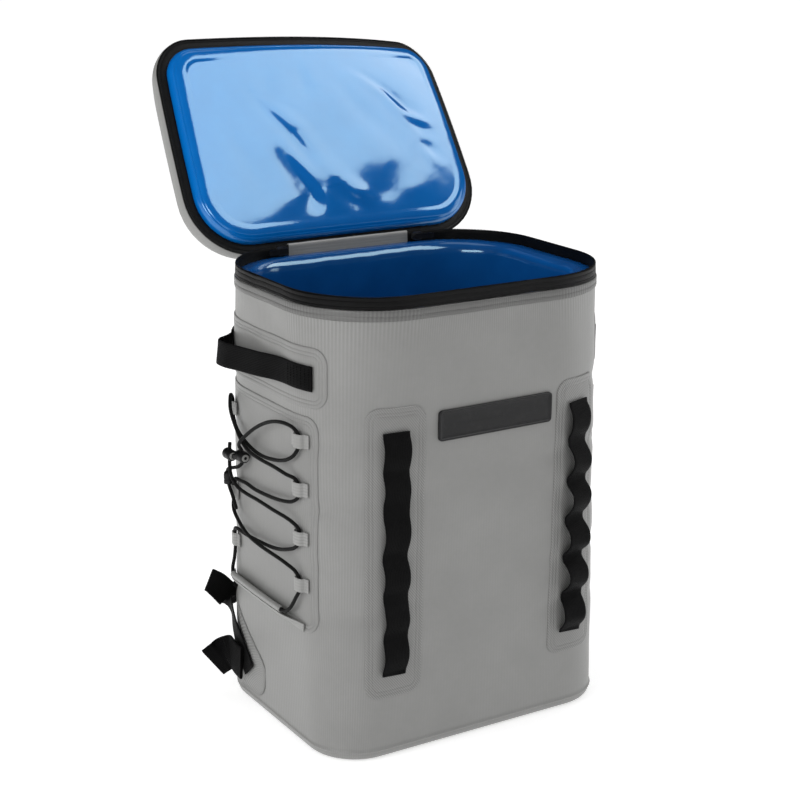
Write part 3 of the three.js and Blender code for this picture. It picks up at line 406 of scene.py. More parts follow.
def coated_cloth(name, rib=0.0, hatch=0.0, tone=0.225, rib_near_corners=0.0):
    finish = Finish(name, {"Specular IOR Level": 0.45})
    across, along = finish.cloth_place()
    threads = across.wave(thread_pitch) * along.wave(thread_pitch)
    patch = finish.cloud(55, 3.0)
    fine = finish.cloud(6, 3.0)
    place = finish.node("ShaderNodeTexCoord", None, None, "Object")
    sideways = abs(finish.node("ShaderNodeSeparateXYZ", None, {0: place}, 0))
    high = finish.node("ShaderNodeSeparateXYZ", None, {0: place}, 2)
    worked = sideways.between(*worked_sides) * 0.6 + high.between(*worked_top)
    rib_share = patch.between(0.36, 0.64) * rib + rib * 0.3 + worked * rib_near_corners
    ribs = across.wave(rib_pitch) * rib_share
    hatched = patch.between(0.3, 0.6) * 0.6 + 0.4
    hatching = (across + along * 0.8).wave(hatch_pitch) * hatched * hatch
    height = 0.5 + threads * 0.1 + ribs * 0.3 + hatching * 0.34 + (fine - 0.5) * 0.24
    # The colour follows the threads, ribs and hatch as the height does: painted shade in their
    # valleys and painted highlight on their crests. The two clouds are the cloth's own uneven tone.
    share = 0.5 + (patch - 0.5) * 0.35 + (fine - 0.5) * 0.12 + threads * 0.04
    share = share + ribs * 0.16 + hatching * 0.26
    colour = finish.tint(share, grey(tone * 0.7), grey(tone * 1.3))
    finish.relief(height, 0.16)
    return finish.wear(colour, 0.4 + (fine - 0.5) * 0.16 + (patch - 0.5) * 0.12)


wall_cloth = coated_cloth("wall_cloth", rib=0.15, rib_near_corners=0.75)
lid_cloth = coated_cloth("lid_cloth", rib=0.1)
patch_cloth = coated_cloth("patch_cloth", rib=0.1, hatch=1.5, tone=0.2)
plain_patch_cloth = coated_cloth("plain_patch_cloth", rib=0.35, tone=0.208)
# The rim strip's grey is partly its own darker tone and partly painted shade from the zip tape
# standing over it.
strip_cloth_with_painted_shade = coated_cloth("strip_cloth_with_painted_shade", rib=1.5, tone=0.115)
hinge_cloth = coated_cloth("hinge_cloth", rib=0.6, tone=0.22)
tab_cloth = coated_cloth("tab_cloth", rib=0.7, tone=0.245)

# %% [markdown]
# ## The liner film
# The blue liner is a smooth film with a wet gloss. A strong, slightly blue reflection over a deep
# blue gives the deep colour where the surroundings are dark and a pale sheet of light where a lamp
# is mirrored. The film is never quite flat, so a slow unevenness bends the mirrored edges. The tub
# is the same film in a darker blue, because much less light finds its way down into it.


# %% Liner film
def glossy_film(name, deep, pale):
    film = Finish(name, {"IOR": 1.78, "Specular Tint": (0.62, 0.92, 1.0, 1)})
    lumps = film.cloud(30, 2.0)
    grain = film.cloud(2.2, 2.0)
    film.relief(lumps * 0.9 + grain * 0.05, 0.45)
    return film.wear(film.tint(lumps, deep, pale), 0.13 + (grain - 0.5) * 0.06)


lid_blues = (0.0, 0.115, 0.43, 1), (0.0, 0.15, 0.52, 1)
tub_blues = (0.002, 0.06, 0.23, 1), (0.004, 0.08, 0.29, 1)
lid_film = glossy_film("lid_film", *lid_blues)
tub_film = glossy_film("tub_film", *tub_blues)

# %% [markdown]
# ## Webbing, zip tape, cord and pad cloth
# Webbing is a heavy ribbed weave: each thread across the strap dips under every second thread
# along it. Shifting every other column by half a rib draws exactly that. Zip tape is a finer
# cousin with a film pressed over it, the cord has a braid of two crossing spirals, and the pads
# are faced with a knit of small cells.


# %% Black goods
def woven(name, column, rib, depth, light, dark, roughness, gloss=0.12):
    finish = Finish(name, {"Sheen Weight": 0.02, "Sheen Roughness": 0.4,
                           "Specular IOR Level": gloss})
    across, along = finish.cloth_place()
    odd = (across / (2 * column)).math_of("FRACT").between(0.45, 0.55)
    ridges = abs((along + odd * rib).wave(2 * rib))
    columns = abs(across.wave(2 * column))
    fuzz = finish.cloud(1.4, 3.0)
    lumps = finish.cloud(16, 2.0)
    height = ridges * columns * 0.75 + fuzz * 0.25
    finish.relief(height, depth)
    # The colour follows the height: painted shade in the weave's valleys and painted highlight on
    # its crests, with lumps of the goods' own uneven tone.
    share = height * 0.75 + (lumps - 0.5) * 0.5
    return finish.wear(finish.tint(share, dark, light), roughness + (fuzz - 0.5) * 0.25)


webbing_weave = woven("webbing_weave", 1.7, 1.15, 0.4,
                      (0.005, 0.005, 0.0054, 1), (0.0006, 0.0006, 0.0007, 1), 0.6, 0.06)
tape_weave = woven("tape_weave", 0.9, 0.8, 0.12,
                   (0.006, 0.006, 0.0064, 1), (0.002, 0.002, 0.0022, 1), 0.45, 0.1)
pad_knit = woven("pad_knit", 1.5, 1.5, 0.6,
                 (0.02, 0.02, 0.022, 1), (0.003, 0.003, 0.0034, 1), 0.75)

braid = Finish("cord_braid", {"Sheen Weight": 0.03, "Sheen Roughness": 0.4,
                              "Specular IOR Level": 0.15})
braid_around, braid_along = braid.cloth_place()
braid_left = abs((braid_around * 1.5 + braid_along).wave(4.0))
braid_right = abs((braid_around * 1.5 - braid_along).wave(4.0))
braid.relief(braid_left * braid_right, 0.3)
# The braid's colour follows its relief: painted highlight where the strands cross high and painted
# shade between them.
cord_braid = braid.wear(
    braid.tint(braid_left * braid_right, (0.001, 0.001, 0.001, 1), (0.009, 0.009, 0.009, 1)),
    0.55 + braid_left * 0.1)

# %% [markdown]
# ## Moulded parts
# The label plate is soft rubber, the locks are moulded plastic and the zip sliders are coated
# metal. They have no weave map, so their grain comes from the noise in the object's own space.


# %% Rubber, plastic and metal
def moulded(name, light, dark, roughness, grain, depth, metallic=0.0):
    finish = Finish(name, {"Metallic": metallic, "Specular IOR Level": 0.25})
    grains = finish.cloud(grain, 3.0)
    scuffs = finish.cloud(9, 4.0, 0.7)
    finish.relief(grains, depth)
    colour = finish.tint(grains * 0.5 + scuffs.between(0.45, 0.7) * 0.4, dark, light)
    return finish.wear(colour, roughness + (scuffs - 0.5) * 0.3)


plate_rubber = moulded("plate_rubber", (0.021, 0.021, 0.022, 1), (0.0085, 0.0085, 0.009, 1),
                       0.5, 0.7, 0.08)
lock_plastic = moulded("lock_plastic", (0.01, 0.01, 0.011, 1), (0.0025, 0.0025, 0.003, 1),
                       0.36, 0.6, 0.04)
button_plastic = moulded("button_plastic", (0.34, 0.34, 0.33, 1), (0.2, 0.2, 0.195, 1),
                         0.4, 0.6, 0.04)
slider_metal = moulded("slider_metal", (0.15, 0.152, 0.158, 1), (0.05, 0.05, 0.054, 1),
                       0.34, 0.5, 0.04, 0.85)

# %% [markdown]
# ## The padded body
# The body is foam between two welded skins. Its outside rises from a rounded base past the welded
# fold to the zip, turns over the foam and goes down inside. A stack of loops round the bag draws
# all of it. Each loop follows the swell of the wall, so highlights roll as they do on soft foam.

# %% Loops round the body
corner_cuts, long_cuts, short_cuts = 14, 30, 18


def body_loop(z, lift, soft=1.0):
    """One loop round the body at height z, lift off the wall."""
    width, depth, corner = (float(value) for value in section_at(z))
    reach_x, reach_y = width / 2 - corner, depth / 2 - corner
    arcs = []
    for turn, (side_x, side_y) in enumerate([(1, 1), (-1, 1), (-1, -1), (1, -1)]):
        angles = (turn + np.linspace(0, 1, corner_cuts + 1)) * np.pi / 2
        centre = np.array([side_x * reach_x, side_y * reach_y])
        arcs.append((centre, np.stack([np.cos(angles), np.sin(angles)], axis=1)))
    places, outward = [], []
    for turn, (centre, normals) in enumerate(arcs):
        next_centre, next_normals = arcs[(turn + 1) % 4]
        cuts = long_cuts if turn % 2 == 0 else short_cuts
        shares = np.linspace(0, 1, cuts + 1)[1:-1, None]
        start = centre + normals[-1] * corner
        end = next_centre + next_normals[0] * corner
        places += [centre + normals * corner, mix(start, end, shares)]
        outward += [normals, np.repeat(normals[-1:], len(shares), axis=0)]
    places, outward = np.concatenate(places), np.concatenate(outward)
    off = lift + soft * swell(places[:, 0], places[:, 1], z)
    points = places + outward * np.reshape(off, (-1, 1))
    return np.concatenate([points, np.full((len(points), 1), float(z))], axis=1)


round_the_bag = body_loop(mouth_height / 2, 0, 0)
girth = np.linalg.norm(np.roll(round_the_bag, -1, 0) - round_the_bag, axis=1)
round_the_bag = np.concatenate([[0], np.cumsum(girth)])
print("girth", round_the_bag[-1].round(0), "mm")

# %% Body shell
base_round = 9
edge_turns = np.radians(np.linspace(0, 90, 7))
outside = [(base_round * (1 - math.cos(a)), -base_round * (1 - math.sin(a))) for a in edge_turns]
outside += [(9.4, 0.5), (9.9, 1.05), (10.6, 1.25), (11.4, 1.05), (12.2, 0.35), (13, 0.0)]
outside += [(z, 0) for z in np.linspace(16, shell_top - 6, 92)]
outside += [(shell_top - 3, -0.1), (shell_top - 0.8, -0.7), (shell_top, -2)]
inside = [(shell_top, -12), (shell_top - 2.4, -17.6), (shell_top - 8, -20)]
inside += [(z, -wall_padding) for z in np.linspace(shell_top - 30, floor_padding, 8)]
shell_rows = [body_loop(z, lift) for z, lift in outside]
shell_rows += [body_loop(z, lift, 0) for z, lift in inside]
padded_shell = skin("padded_shell", shell_rows, round_the_bag, [z for z, _ in outside + inside])
fit(padded_shell, wall_cloth, "tarpaulin", "body_shell")

# %% [markdown]
# ## The liner tub
# The blue film is welded into a tub that hangs inside the foam and rolls over it into a shelf just
# under the zip. The film was made a little too big, so it ripples along the shelf and in the
# corners. The ripples are a few waves round the loop, larger where the film turns.


# %% Liner tub
def rippled(loop, amount, shift):
    count = len(loop)
    turn = np.arange(count) / count * 2 * np.pi
    waves = np.sin(9 * turn + shift) * 0.5 + np.sin(23 * turn + 2.1 * shift) * 0.3
    waves = waves + np.sin(41 * turn - shift) * 0.2
    middle = np.array([0, 0, loop[0, 2]])
    out = loop - middle
    out[:, 2] = 0
    out /= np.linalg.norm(out, axis=1, keepdims=True)
    return loop + out * (waves * amount)[:, None]


liner_out = -wall_padding - clearance
film_thickness = 1.5
shelf_top = shell_top + clearance + film_thickness
tub_outer = [(floor_padding + 0.3, liner_out), (shelf_top - 9.5, liner_out),
             (shelf_top - 3.9, liner_out + 2.4), (shelf_top - 1.5, liner_out + 8)]
shelf_edge = -tape_thickness - clearance
tub_inner = [(shelf_top - 1.5, shelf_edge), (shelf_top - 0.6, shelf_edge),
             (shelf_top, shelf_edge - 1), (shelf_top + 0.25, -6), (shelf_top + 0.3, -9),
             (shelf_top - 0.1, -12.4), (shelf_top - 1.1, -15.4), (shelf_top - 2.7, -18),
             (shelf_top - 5.1, -20.2), (shelf_top - 8.4, -21.5)]
tub_inner += [(z, liner_out - film_thickness) for z in np.linspace(shelf_top - 13, 36, 60)]
tub_inner += [(29, -22.6), (25.6, -24.6), (floor_padding + 1.8, -28)]
tub_rows = [body_loop(z, lift, 0) for z, lift in tub_outer]
for index, (z, lift) in enumerate(tub_inner):
    depth_in = max(shelf_top - z, 0)
    amount = 0.0 if index < 3 else min(0.25 + depth_in * 0.02, 1.1)
    tub_rows.append(rippled(body_loop(z, lift - amount, 0), amount, z / 17))
liner_tub = skin("liner_tub", tub_rows, round_the_bag)
fit(liner_tub, tub_film, "liner", "body_liner")

# %% [markdown]
# ## Rim strip and zip tape
# A narrow grey strip is welded over the top edge of the wall, and the zip tape stands on it all the
# way round but for a break at the hinge. Both are closed rings of loops. The zip's coil runs along
# the top of the tape: several hundred small links, each a short bar bent over the edge.

# %% Rim strip
strip_high = shell_top - clearance
strip_rows = [(strip_high - 10.6, 0.1), (strip_high - 10.3, 0.8), (strip_high - 9.6, 1.2),
              (strip_high - 6.4, 1.25), (strip_high - 5.6, 0.85), (strip_high - 4.8, 1.25),
              (strip_high - 0.8, 1.25), (strip_high, 0.8), (strip_high, 0.1)]
# Its cloth carries painted shade from the zip tape above, on top of its own darker grey.
rim_strip = skin("rim_strip", [body_loop(z, lift) for z, lift in strip_rows],
                 round_the_bag, [z for z, _ in strip_rows], ring=True)
fit(rim_strip, strip_cloth_with_painted_shade, "tarpaulin", "rim_band")

# %% Mouth tape and its coil
zip_gap_half = 74
tape_low = shell_top + clearance
tape_side = [(tape_low, -1.6), (tape_low, -0.5), (tape_low + 0.4, 0.15), (tape_low + 2.6, 0.25),
             (tape_low + 3.2, -0.1), (tape_low + 3.8, 0.25), (mouth_height - 4.2, 0.1),
             (mouth_height - 3.6, -0.25), (mouth_height - 3, 0.1), (mouth_height - 0.5, 0),
             (mouth_height, -0.5), (mouth_height, -1.4), (mouth_height - 0.5, -1.75),
             (mouth_height - 4, -1.75)]


def broken_loop(loop):
    """A loop round the bag opened at the back, where the hinge fills the break."""
    behind = (loop[:, 1] > 0) & (np.abs(loop[:, 0]) < zip_gap_half + clearance)
    kept = np.flatnonzero(~behind)
    first = kept[np.flatnonzero(np.diff(kept) > 1)[0] + 1]
    order = (first + np.arange(len(loop))) % len(loop)
    ends = loop[order[~behind[order]]]
    start, finish = ends[0].copy(), ends[-1].copy()
    start[0], finish[0] = -zip_gap_half - clearance, zip_gap_half + clearance
    return np.concatenate([[start], ends, [finish]])


def wavy_tape(z, lift):
    loop = body_loop(z, lift, 0)
    turn = np.arange(len(loop)) / len(loop) * 2 * np.pi
    loop[:, 2] += 0.35 * np.sin(7 * turn) + 0.2 * np.sin(19 * turn)
    return broken_loop(loop)


tape_levels = [wavy_tape(z, lift) for z, lift in tape_side]
tape_columns = np.stack(tape_levels, axis=1)
tape_steps = np.linalg.norm(np.diff(tape_columns[:, 0], axis=0), axis=1)
tape_run = np.concatenate([[0], np.cumsum(tape_steps)])
tape_around = [p[0] - p[1] for p in tape_side] + [0]
mouth_tape = skin("mouth_tape_band", tape_columns, tape_around, tape_run)


def even_steps(line, pitch):
    """Points along a line every pitch, with the direction of the line at each."""
    lengths = np.concatenate([[0], np.cumsum(np.linalg.norm(np.diff(line, axis=0), axis=1))])
    marks = np.arange(pitch / 2, lengths[-1], pitch)
    points = np.stack([np.interp(marks, lengths, line[:, k]) for k in range(3)], axis=1)
    ways = np.gradient(points, axis=0)
    return points, ways / np.linalg.norm(ways, axis=1, keepdims=True)


def small_bars(name, points, along, across, length, width, height):
    """Many little bars with chamfered tops: links of a coil or stitches of thread."""
    up = np.cross(along, across)
    outline = [(-1, 0.0, -1), (1, 0.0, -1), (1, 0.0, 1), (-1, 0.0, 1),
               (-0.6, 1.0, -0.6), (0.6, 1.0, -0.6), (0.6, 1.0, 0.6), (-0.6, 1.0, 0.6)]
    sides = [(0, 1, 5, 4), (1, 2, 6, 5), (2, 3, 7, 6), (3, 0, 4, 7), (4, 5, 6, 7), (3, 2, 1, 0)]
    corners, faces = [], []
    for index, point in enumerate(points):
        for a, u, w in outline:
            corners.append(point + along[index] * a * length / 2
                           + up[index] * u * height + across[index] * w * width / 2)
        faces += [tuple(8 * index + k for k in side) for side in sides]
    return make_piece(name, corners, faces, np.zeros((sum(map(len, faces)), 2)), 30)


coil_pitch, link_length, link_width, link_height = 1.7, 1.1, 2.2, 1.0
coil_line = broken_loop(body_loop(mouth_height - 0.2, -0.9, 0))
coil_points, coil_ways = even_steps(coil_line, coil_pitch)
coil_out = np.cross(coil_ways, [0, 0, 1])
coil = small_bars("mouth_coil", coil_points, coil_ways, coil_out,
                  link_length, link_width, -link_height)
mouth_band = join_pieces("mouth_tape_and_coil", [mouth_tape, coil])
fit(mouth_band, tape_weave, "zip_tape", "mouth_tape")

# %% [markdown]
# ## The hinge
# A strip of the same coated cloth fills the break in the zip. It climbs the wall, folds over the
# rim and turns down to the lid. It is a thin sheet swept along that folded line.

# %% Hinge
hinge_out = rim_depth / 2 + 1 + tape_thickness
hinge_y = hinge_out + seat
hinge_z = mouth_height - 7.3
wall_back_y = float(section_at(tape_low)[1]) / 2
hinge_line = np.array([
    (wall_back_y - 0.8, tape_low), (wall_back_y - 0.6, tape_low + 6),
    (rim_depth / 2 - 0.8, mouth_height - 1.5), (rim_depth / 2 - 0.6, mouth_height + 0.1),
    (rim_depth / 2 + 0.1, mouth_height + 0.8), (rim_depth / 2 + 1.1, mouth_height + 0.8),
    (rim_depth / 2 + 1.8, mouth_height + 0.1), (rim_depth / 2 + 1.8, mouth_height - 3),
    (rim_depth / 2 + 1.8, hinge_z),
])
hinge_across = np.linspace(-zip_gap_half, zip_gap_half, 38)
normals = np.gradient(hinge_line, axis=0)
normals = np.stack([-normals[:, 1], normals[:, 0]], axis=1)
normals /= np.linalg.norm(normals, axis=1, keepdims=True)
hinge_loops = []
for x in hinge_across:
    lift = 0.25 * math.sin(x / 9) + 0.15 * math.sin(x / 4.3)
    upper = hinge_line + normals * (0.7 + 0.3 * lift)
    lower = (hinge_line - normals * 0.7)[::-1]
    ring = np.concatenate([upper, lower])
    hinge_loops.append(np.column_stack([np.full(len(ring), x), ring[:, 0], ring[:, 1]]))
hinge = skin("hinge_sheet", hinge_loops)
fit(hinge, hinge_cloth, "tarpaulin", "hinge_panel")

# %% [markdown]
# ## The lid
# The lid is a shallow padded box hinged open past upright. Its long edges droop a little and the
# tip twists. Points on it are given as u across, v from the hinge to the tip and n out of its inner
# side, all in millimetres, and one function bends them into place.

# %% Lid coordinates
lid_width, lid_length = 359, 240
lid_tip_corner, lid_hinge_corner = 41, 68
lid_angle, lid_twist = math.radians(117), math.radians(9.9)
lid_droop, lid_side_shift = 17, 2.8
lid_depth = 29
lid_cuts = 12


def on_lid(u, v, n):
    u, v, n = np.broadcast_arrays(*(np.asarray(value, float) for value in (u, v, n)))
    across, along = u / lid_width, v / lid_length
    angle = lid_angle + lid_twist * across * along
    lower = lid_droop * (2 * across) ** 2 * along
    rise = n - lower
    y = hinge_y - np.cos(angle) * v - np.sin(angle) * rise
    z = hinge_z + np.sin(angle) * v - np.cos(angle) * rise
    return np.stack([u + lid_side_shift, y, z], axis=-1)


def lid_outline(inset):
    """The lid's outline in u and v, pulled in by inset."""
    corners = [(1, lid_length, lid_tip_corner), (-1, lid_length, lid_tip_corner),
               (-1, 0, lid_hinge_corner), (1, 0, lid_hinge_corner)]
    arcs = []
    for turn, (side, v, corner) in enumerate(corners):
        radius = max(corner - inset, 1.5)
        centre = (side * (lid_width / 2 - inset - radius),
                  v + (-1 if v else 1) * (inset + radius))
        angles = (turn + np.linspace(0, 1, lid_cuts + 1)) * np.pi / 2
        arcs.append(np.array(centre) + radius * np.stack([np.cos(angles), np.sin(angles)], axis=1))
    outline = []
    for index, arc in enumerate(arcs):
        cuts = 40 if index % 2 == 0 else 24
        shares = np.linspace(0, 1, cuts + 1)[1:-1, None]
        outline += [arc, mix(arc[-1], arcs[(index + 1) % 4][0], shares)]
    return np.concatenate(outline)


def lid_loop(inset, height):
    outline = lid_outline(inset)
    u, v = outline.T
    return on_lid(u, v, height(u, v) if callable(height) else height)


# %% Lid shell
shell_front = -tape_thickness - clearance


def shell_depth(v):
    return lid_depth * (1 - 0.5 * smooth(v / lid_length, 0.72, 1))


def shell_back(share, rise):
    """The outside of the lid: rise adds the crown of the foam."""
    def height(u, v):
        lumps = 0.5 * np.sin(u / 31) * np.sin(v / 27 + u / 90)
        return shell_front - share * shell_depth(v) - rise * (4 + lumps)
    return height


back_inset = 19
back_line = lid_outline(back_inset)
lid_middle = np.array([0, lid_length / 2])
back_half = np.array([lid_width / 2 - back_inset, lid_length / 2 - back_inset])


def lid_crown(u, v, half, power, square=4):
    """From 0 at the edge of a face to 1 in its middle. A large square keeps its corners full."""
    off_u, off_v = np.abs(u) / half[0], np.abs(v - lid_middle[1]) / half[1]
    away = (off_u ** square + off_v ** square) ** (1 / square)
    return 1 - np.clip(away, 0, 1.1) ** power


lid_sides = [(0.4, 0.04), (0.0, 0.12), (-0.2, 0.3), (0.2, 0.5), (1.2, 0.66), (3.2, 0.8),
             (6.6, 0.92), (11, 0.98), (15, 0.985), (16.4, 0.955), (17.8, 0.985)]
hidden_insets = (118, 60, 20, 3)
lid_rows = [lid_loop(inset, shell_front) for inset in hidden_insets]
lid_rows += [lid_loop(inset, shell_back(share, 0)) for inset, share in lid_sides]
rim_rows = len(lid_rows)
lid_run = lid_outline(0)
lid_run = np.linalg.norm(np.roll(lid_run, -1, 0) - lid_run, axis=1)
lid_run = np.concatenate([[0], np.cumsum(lid_run)])
around = [lid_run] * rim_rows
along = [np.full(len(lid_run), 3.0 * k) for k in range(rim_rows)]
for share in np.linspace(1, 0.01, 48):
    u, v = (lid_middle + (back_line - lid_middle) * share).T
    lid_rows.append(on_lid(u, v, shell_back(1, lid_crown(u, v, back_half, 2.4))(u, v)))
    around.append(np.append(u, u[0]))
    along.append(np.append(v, v[0]))
lid_padding = skin("lid_padding", lid_rows, np.array(around), np.array(along))
fit(lid_padding, lid_cloth, "tarpaulin", "lid_shell")

# %% Lid tape and its coil
lid_tape_side = [(0.2, -1.6), (0, -0.8), (0.3, -0.1), (1, 0.05), (3.4, 0.05), (4, -0.3),
                 (4.6, 0.05), (9, 0.0), (11, -0.3), (11, -1.6)]
lid_tape = skin("lid_tape_band", [lid_loop(inset, n) for inset, n in lid_tape_side], ring=True)
lid_coil_inset, lid_link_width, lid_link_height = 0.9, 2.0, 0.8
coil_across, coil_along = lid_outline(lid_coil_inset).T
lid_coil_line = lid_loop(lid_coil_inset, 0.2)
opening = np.flatnonzero((coil_along < 2) & (np.abs(coil_across) < zip_gap_half))
lid_coil_line = np.roll(lid_coil_line, -opening[-1] - 1, axis=0)[:-len(opening)]
lid_points, lid_ways = even_steps(lid_coil_line, coil_pitch)
lid_inward = np.array([0, -math.sin(lid_angle), -math.cos(lid_angle)])
lid_coil_out = np.cross(lid_ways, lid_inward)
lid_coil = small_bars("lid_coil", lid_points, lid_ways, lid_coil_out,
                      link_length, lid_link_width, -lid_link_height)
lid_band = join_pieces("lid_tape_and_coil", [lid_tape, lid_coil])
fit(lid_band, tape_weave, "zip_tape", "lid_tape")

# %% [markdown]
# ## The lid's cushion
# This is the most eye-catching piece: a foam slab under loose blue film. The film is welded round
# the edge, rolls up to a soft rim, dips at the weld of the face and then lies across the foam with
# long creases. Each crease is a line on the lid with a depth and a reach. Near it the film sinks on
# one side and lifts on the other, which is what bends the mirrored light.

# %% Creases of the film
# The depth is in millimetres. The points are shares of the lid's width and length, and the reach
# is a share of its width. The sign of lean says which side of the line lifts, its size how much.
film_creases = [
    {"depth": 1.7, "reach": 0.03, "lean": 1.1,  # the long slant
     "line": [(-0.27, 0.8), (-0.231, 0.693), (-0.197, 0.61), (-0.137, 0.505), (-0.084, 0.334),
              (-0.022, 0.213), (0.06, 0.088)]},
    {"depth": 4.4, "reach": 0.038, "lean": 0.9,  # the valley
     "line": [(-0.21, 0.5), (-0.16, 0.36), (-0.115, 0.24), (-0.092, 0)]},
    {"depth": 2, "reach": 0.024, "lean": -1,  # the right fold
     "line": [(0.07, 0.9), (0.245, 0.707), (0.312, 0.608), (0.43, 0.52)]},
    {"depth": 3.4, "reach": 0.026, "lean": 0.8,  # under the right fold
     "line": [(0.26, 0.59), (0.34, 0.51), (0.47, 0.44)]},
    {"depth": 3, "reach": 0.026, "lean": -0.7,  # the lowest right fold
     "line": [(0.31, 0.45), (0.37, 0.39), (0.47, 0.31)]},
    {"depth": 1.2, "reach": 0.04, "lean": 0.6,  # upper left, soft
     "line": [(-0.142, 0.95), (-0.203, 0.676)]},
    {"depth": 1, "reach": 0.022, "lean": 0.8,  # upper middle, soft
     "line": [(-0.05, 0.98), (-0.049, 0.72)]},
    {"depth": 3, "reach": 0.032, "lean": 0.9,  # at the lower edge
     "line": [(-0.04, 0.3), (0.03, 0.16), (0.06, -0.04)]},
    {"depth": 1.1, "reach": 0.05, "lean": 0.5,  # broad, left
     "line": [(-0.38, 0.66), (-0.3, 0.42), (-0.24, 0.2)]},
    {"depth": 1.2, "reach": 0.05, "lean": -0.6,  # broad, right
     "line": [(0.02, 0.86), (0.12, 0.62), (0.26, 0.4)]},
]
lid_shape = np.array([1.0, lid_length / lid_width])


def crease_depth(u, v):
    """How far the creases move the film at a place on the lid."""
    here = np.stack([u / lid_width, v / lid_length], axis=-1) * lid_shape
    total = np.zeros(np.shape(u))
    for crease in film_creases:
        line = np.array(crease["line"]) * lid_shape
        best = np.full(np.shape(u), 1e9)
        side = np.zeros(np.shape(u))
        run = np.zeros(np.shape(u))
        spans = len(line) - 1
        for k in range(spans):
            way = line[k + 1] - line[k]
            offset = here - line[k]
            share = np.clip(offset @ way / (way @ way), 0, 1)
            gap = offset - share[..., None] * way
            away = np.linalg.norm(gap, axis=-1)
            closer = away < best
            crossing = way[0] * offset[..., 1] - way[1] * offset[..., 0]
            best = np.where(closer, away, best)
            side = np.where(closer, crossing / np.linalg.norm(way), side)
            run = np.where(closer, (k + share) / spans, run)
        fade = smooth(run, 0, 0.55) * (1 - smooth(run, 0.9, 1.0) * 0.5)
        reach = crease["reach"] * (0.45 + 0.55 * run)
        dip = np.exp(-(best / reach) ** 2)
        lift = np.exp(-((side / reach - 1.7 * np.sign(crease["lean"])) / 1.3) ** 2)
        lift = lift * np.exp(-(np.maximum(best - 3 * reach, 0) / reach) ** 2)
        total += crease["depth"] * fade * (abs(crease["lean"]) * lift * 0.8 - dip)
    return total


# %% Lid cushion
cushion_edge = [(11.4, -1.6), (11.1, 0.5), (11.2, 3), (11.9, 6), (13.4, 8.9), (14.6, 10.2),
                (15.3, 10.5), (15.8, 10.5), (16.3, 11.1), (18, 12.1), (20.5, 13.0), (23.5, 13.6),
                (26.2, 13.9)]
face_inset, face_height, face_crown = 28.5, 14.1, 4.4
face_line = lid_outline(face_inset)
face_half = np.array([lid_width / 2 - face_inset, lid_length / 2 - face_inset])


def cushion_face(u, v):
    """How high the film lies at a place inside the weld line."""
    inside = np.clip(lid_crown(u, v, face_half, 1, 8), 0, 1)
    crown = face_crown * lid_crown(u, v, face_half, 2.6)
    slack = 0.34 * np.sin(u / 17 + v / 29) + 0.3 * np.sin(u / 31 - v / 13 + 1)
    lobes = 0.9 * np.sin(u / 12.5 + 0.8) * np.exp(-((v - 44) / 17) ** 2)
    return face_height + crown + smooth(inside, 0, 0.3) * (crease_depth(u, v) + slack + lobes)


def face_loop(share):
    u, v = (lid_middle + (face_line - lid_middle) * share).T
    return on_lid(u, v, cushion_face(u, v))


cushion_rows = [lid_loop(inset, -tape_thickness) for inset in (118, 60, 16)]
cushion_rows += [lid_loop(inset, n) for inset, n in cushion_edge]
cushion_rows += [face_loop(share) for share in np.linspace(1, 0.01, 64)]
lid_cushion = skin("lid_cushion", cushion_rows, sharp=80)
fit(lid_cushion, lid_film, "liner", "lid_liner")

# %% [markdown]
# ## Welded patches
# Each patch is a sheet of the coated cloth welded flat on the wall. The welding die rounds its
# edge and presses two thin grooves inside it. Loops that shrink from the outline to the middle
# follow both, and the patch stays on the wall because every loop is given in wall coordinates.

# %% Patches
weld_border = [(0, -0.2), (0, 0.55), (0.4, 1.0), (1.2, 1.2), (3.6, 1.2), (4.4, 0.85), (5.2, 1.2),
               (7.2, 1.2), (8.0, 0.8), (8.8, 1.15)]


def patch_outline(start, end, low, high, corner, inset):
    """A rounded rectangle in wall coordinates, pulled in by inset."""
    radius = max(corner - inset, 0.4)
    half_s, half_z = (end - start) / 2 - inset, (high - low) / 2 - inset
    radius = min(radius, half_s, half_z)
    middle = np.array([(start + end) / 2, (low + high) / 2])
    arcs = []
    for turn, (a, b) in enumerate([(1, 1), (-1, 1), (-1, -1), (1, -1)]):
        angles = (turn + np.linspace(0, 1, 9)) * np.pi / 2
        centre = middle + np.array([a * (half_s - radius), b * (half_z - radius)])
        arcs.append(centre + radius * np.stack([np.cos(angles), np.sin(angles)], axis=1))
    outline = []
    for turn, arc in enumerate(arcs):
        length = (end - start) if turn % 2 == 0 else (high - low)
        shares = np.linspace(0, 1, max(int(length / 7), 2))[1:-1, None]
        outline += [arc, mix(arc[-1], arcs[(turn + 1) % 4][0], shares)]
    return np.concatenate(outline)


def weld_patch(name, face, start, end, low, high, corner, finish, node):
    half = min(end - start, high - low) / 2
    top = weld_border + [(inset, 1.0) for inset in np.arange(12, half - 1, 6)] + [(half - 0.6, 1.0)]
    under = [(inset, -0.35) for inset in (half - 0.6, *np.arange(half - 12, 4, -14), 0.3)]
    rows, around, along = [], [], []
    for inset, lift in under + top:
        s, z = patch_outline(start, end, low, high, corner, inset).T
        rows.append(on_wall(face, s, z, lift))
        around.append(np.append(s, s[0]))
        along.append(np.append(z, z[0]))
    piece = skin(name, rows, np.array(around), np.array(along))
    fit(piece, finish, "tarpaulin", node)
    return piece


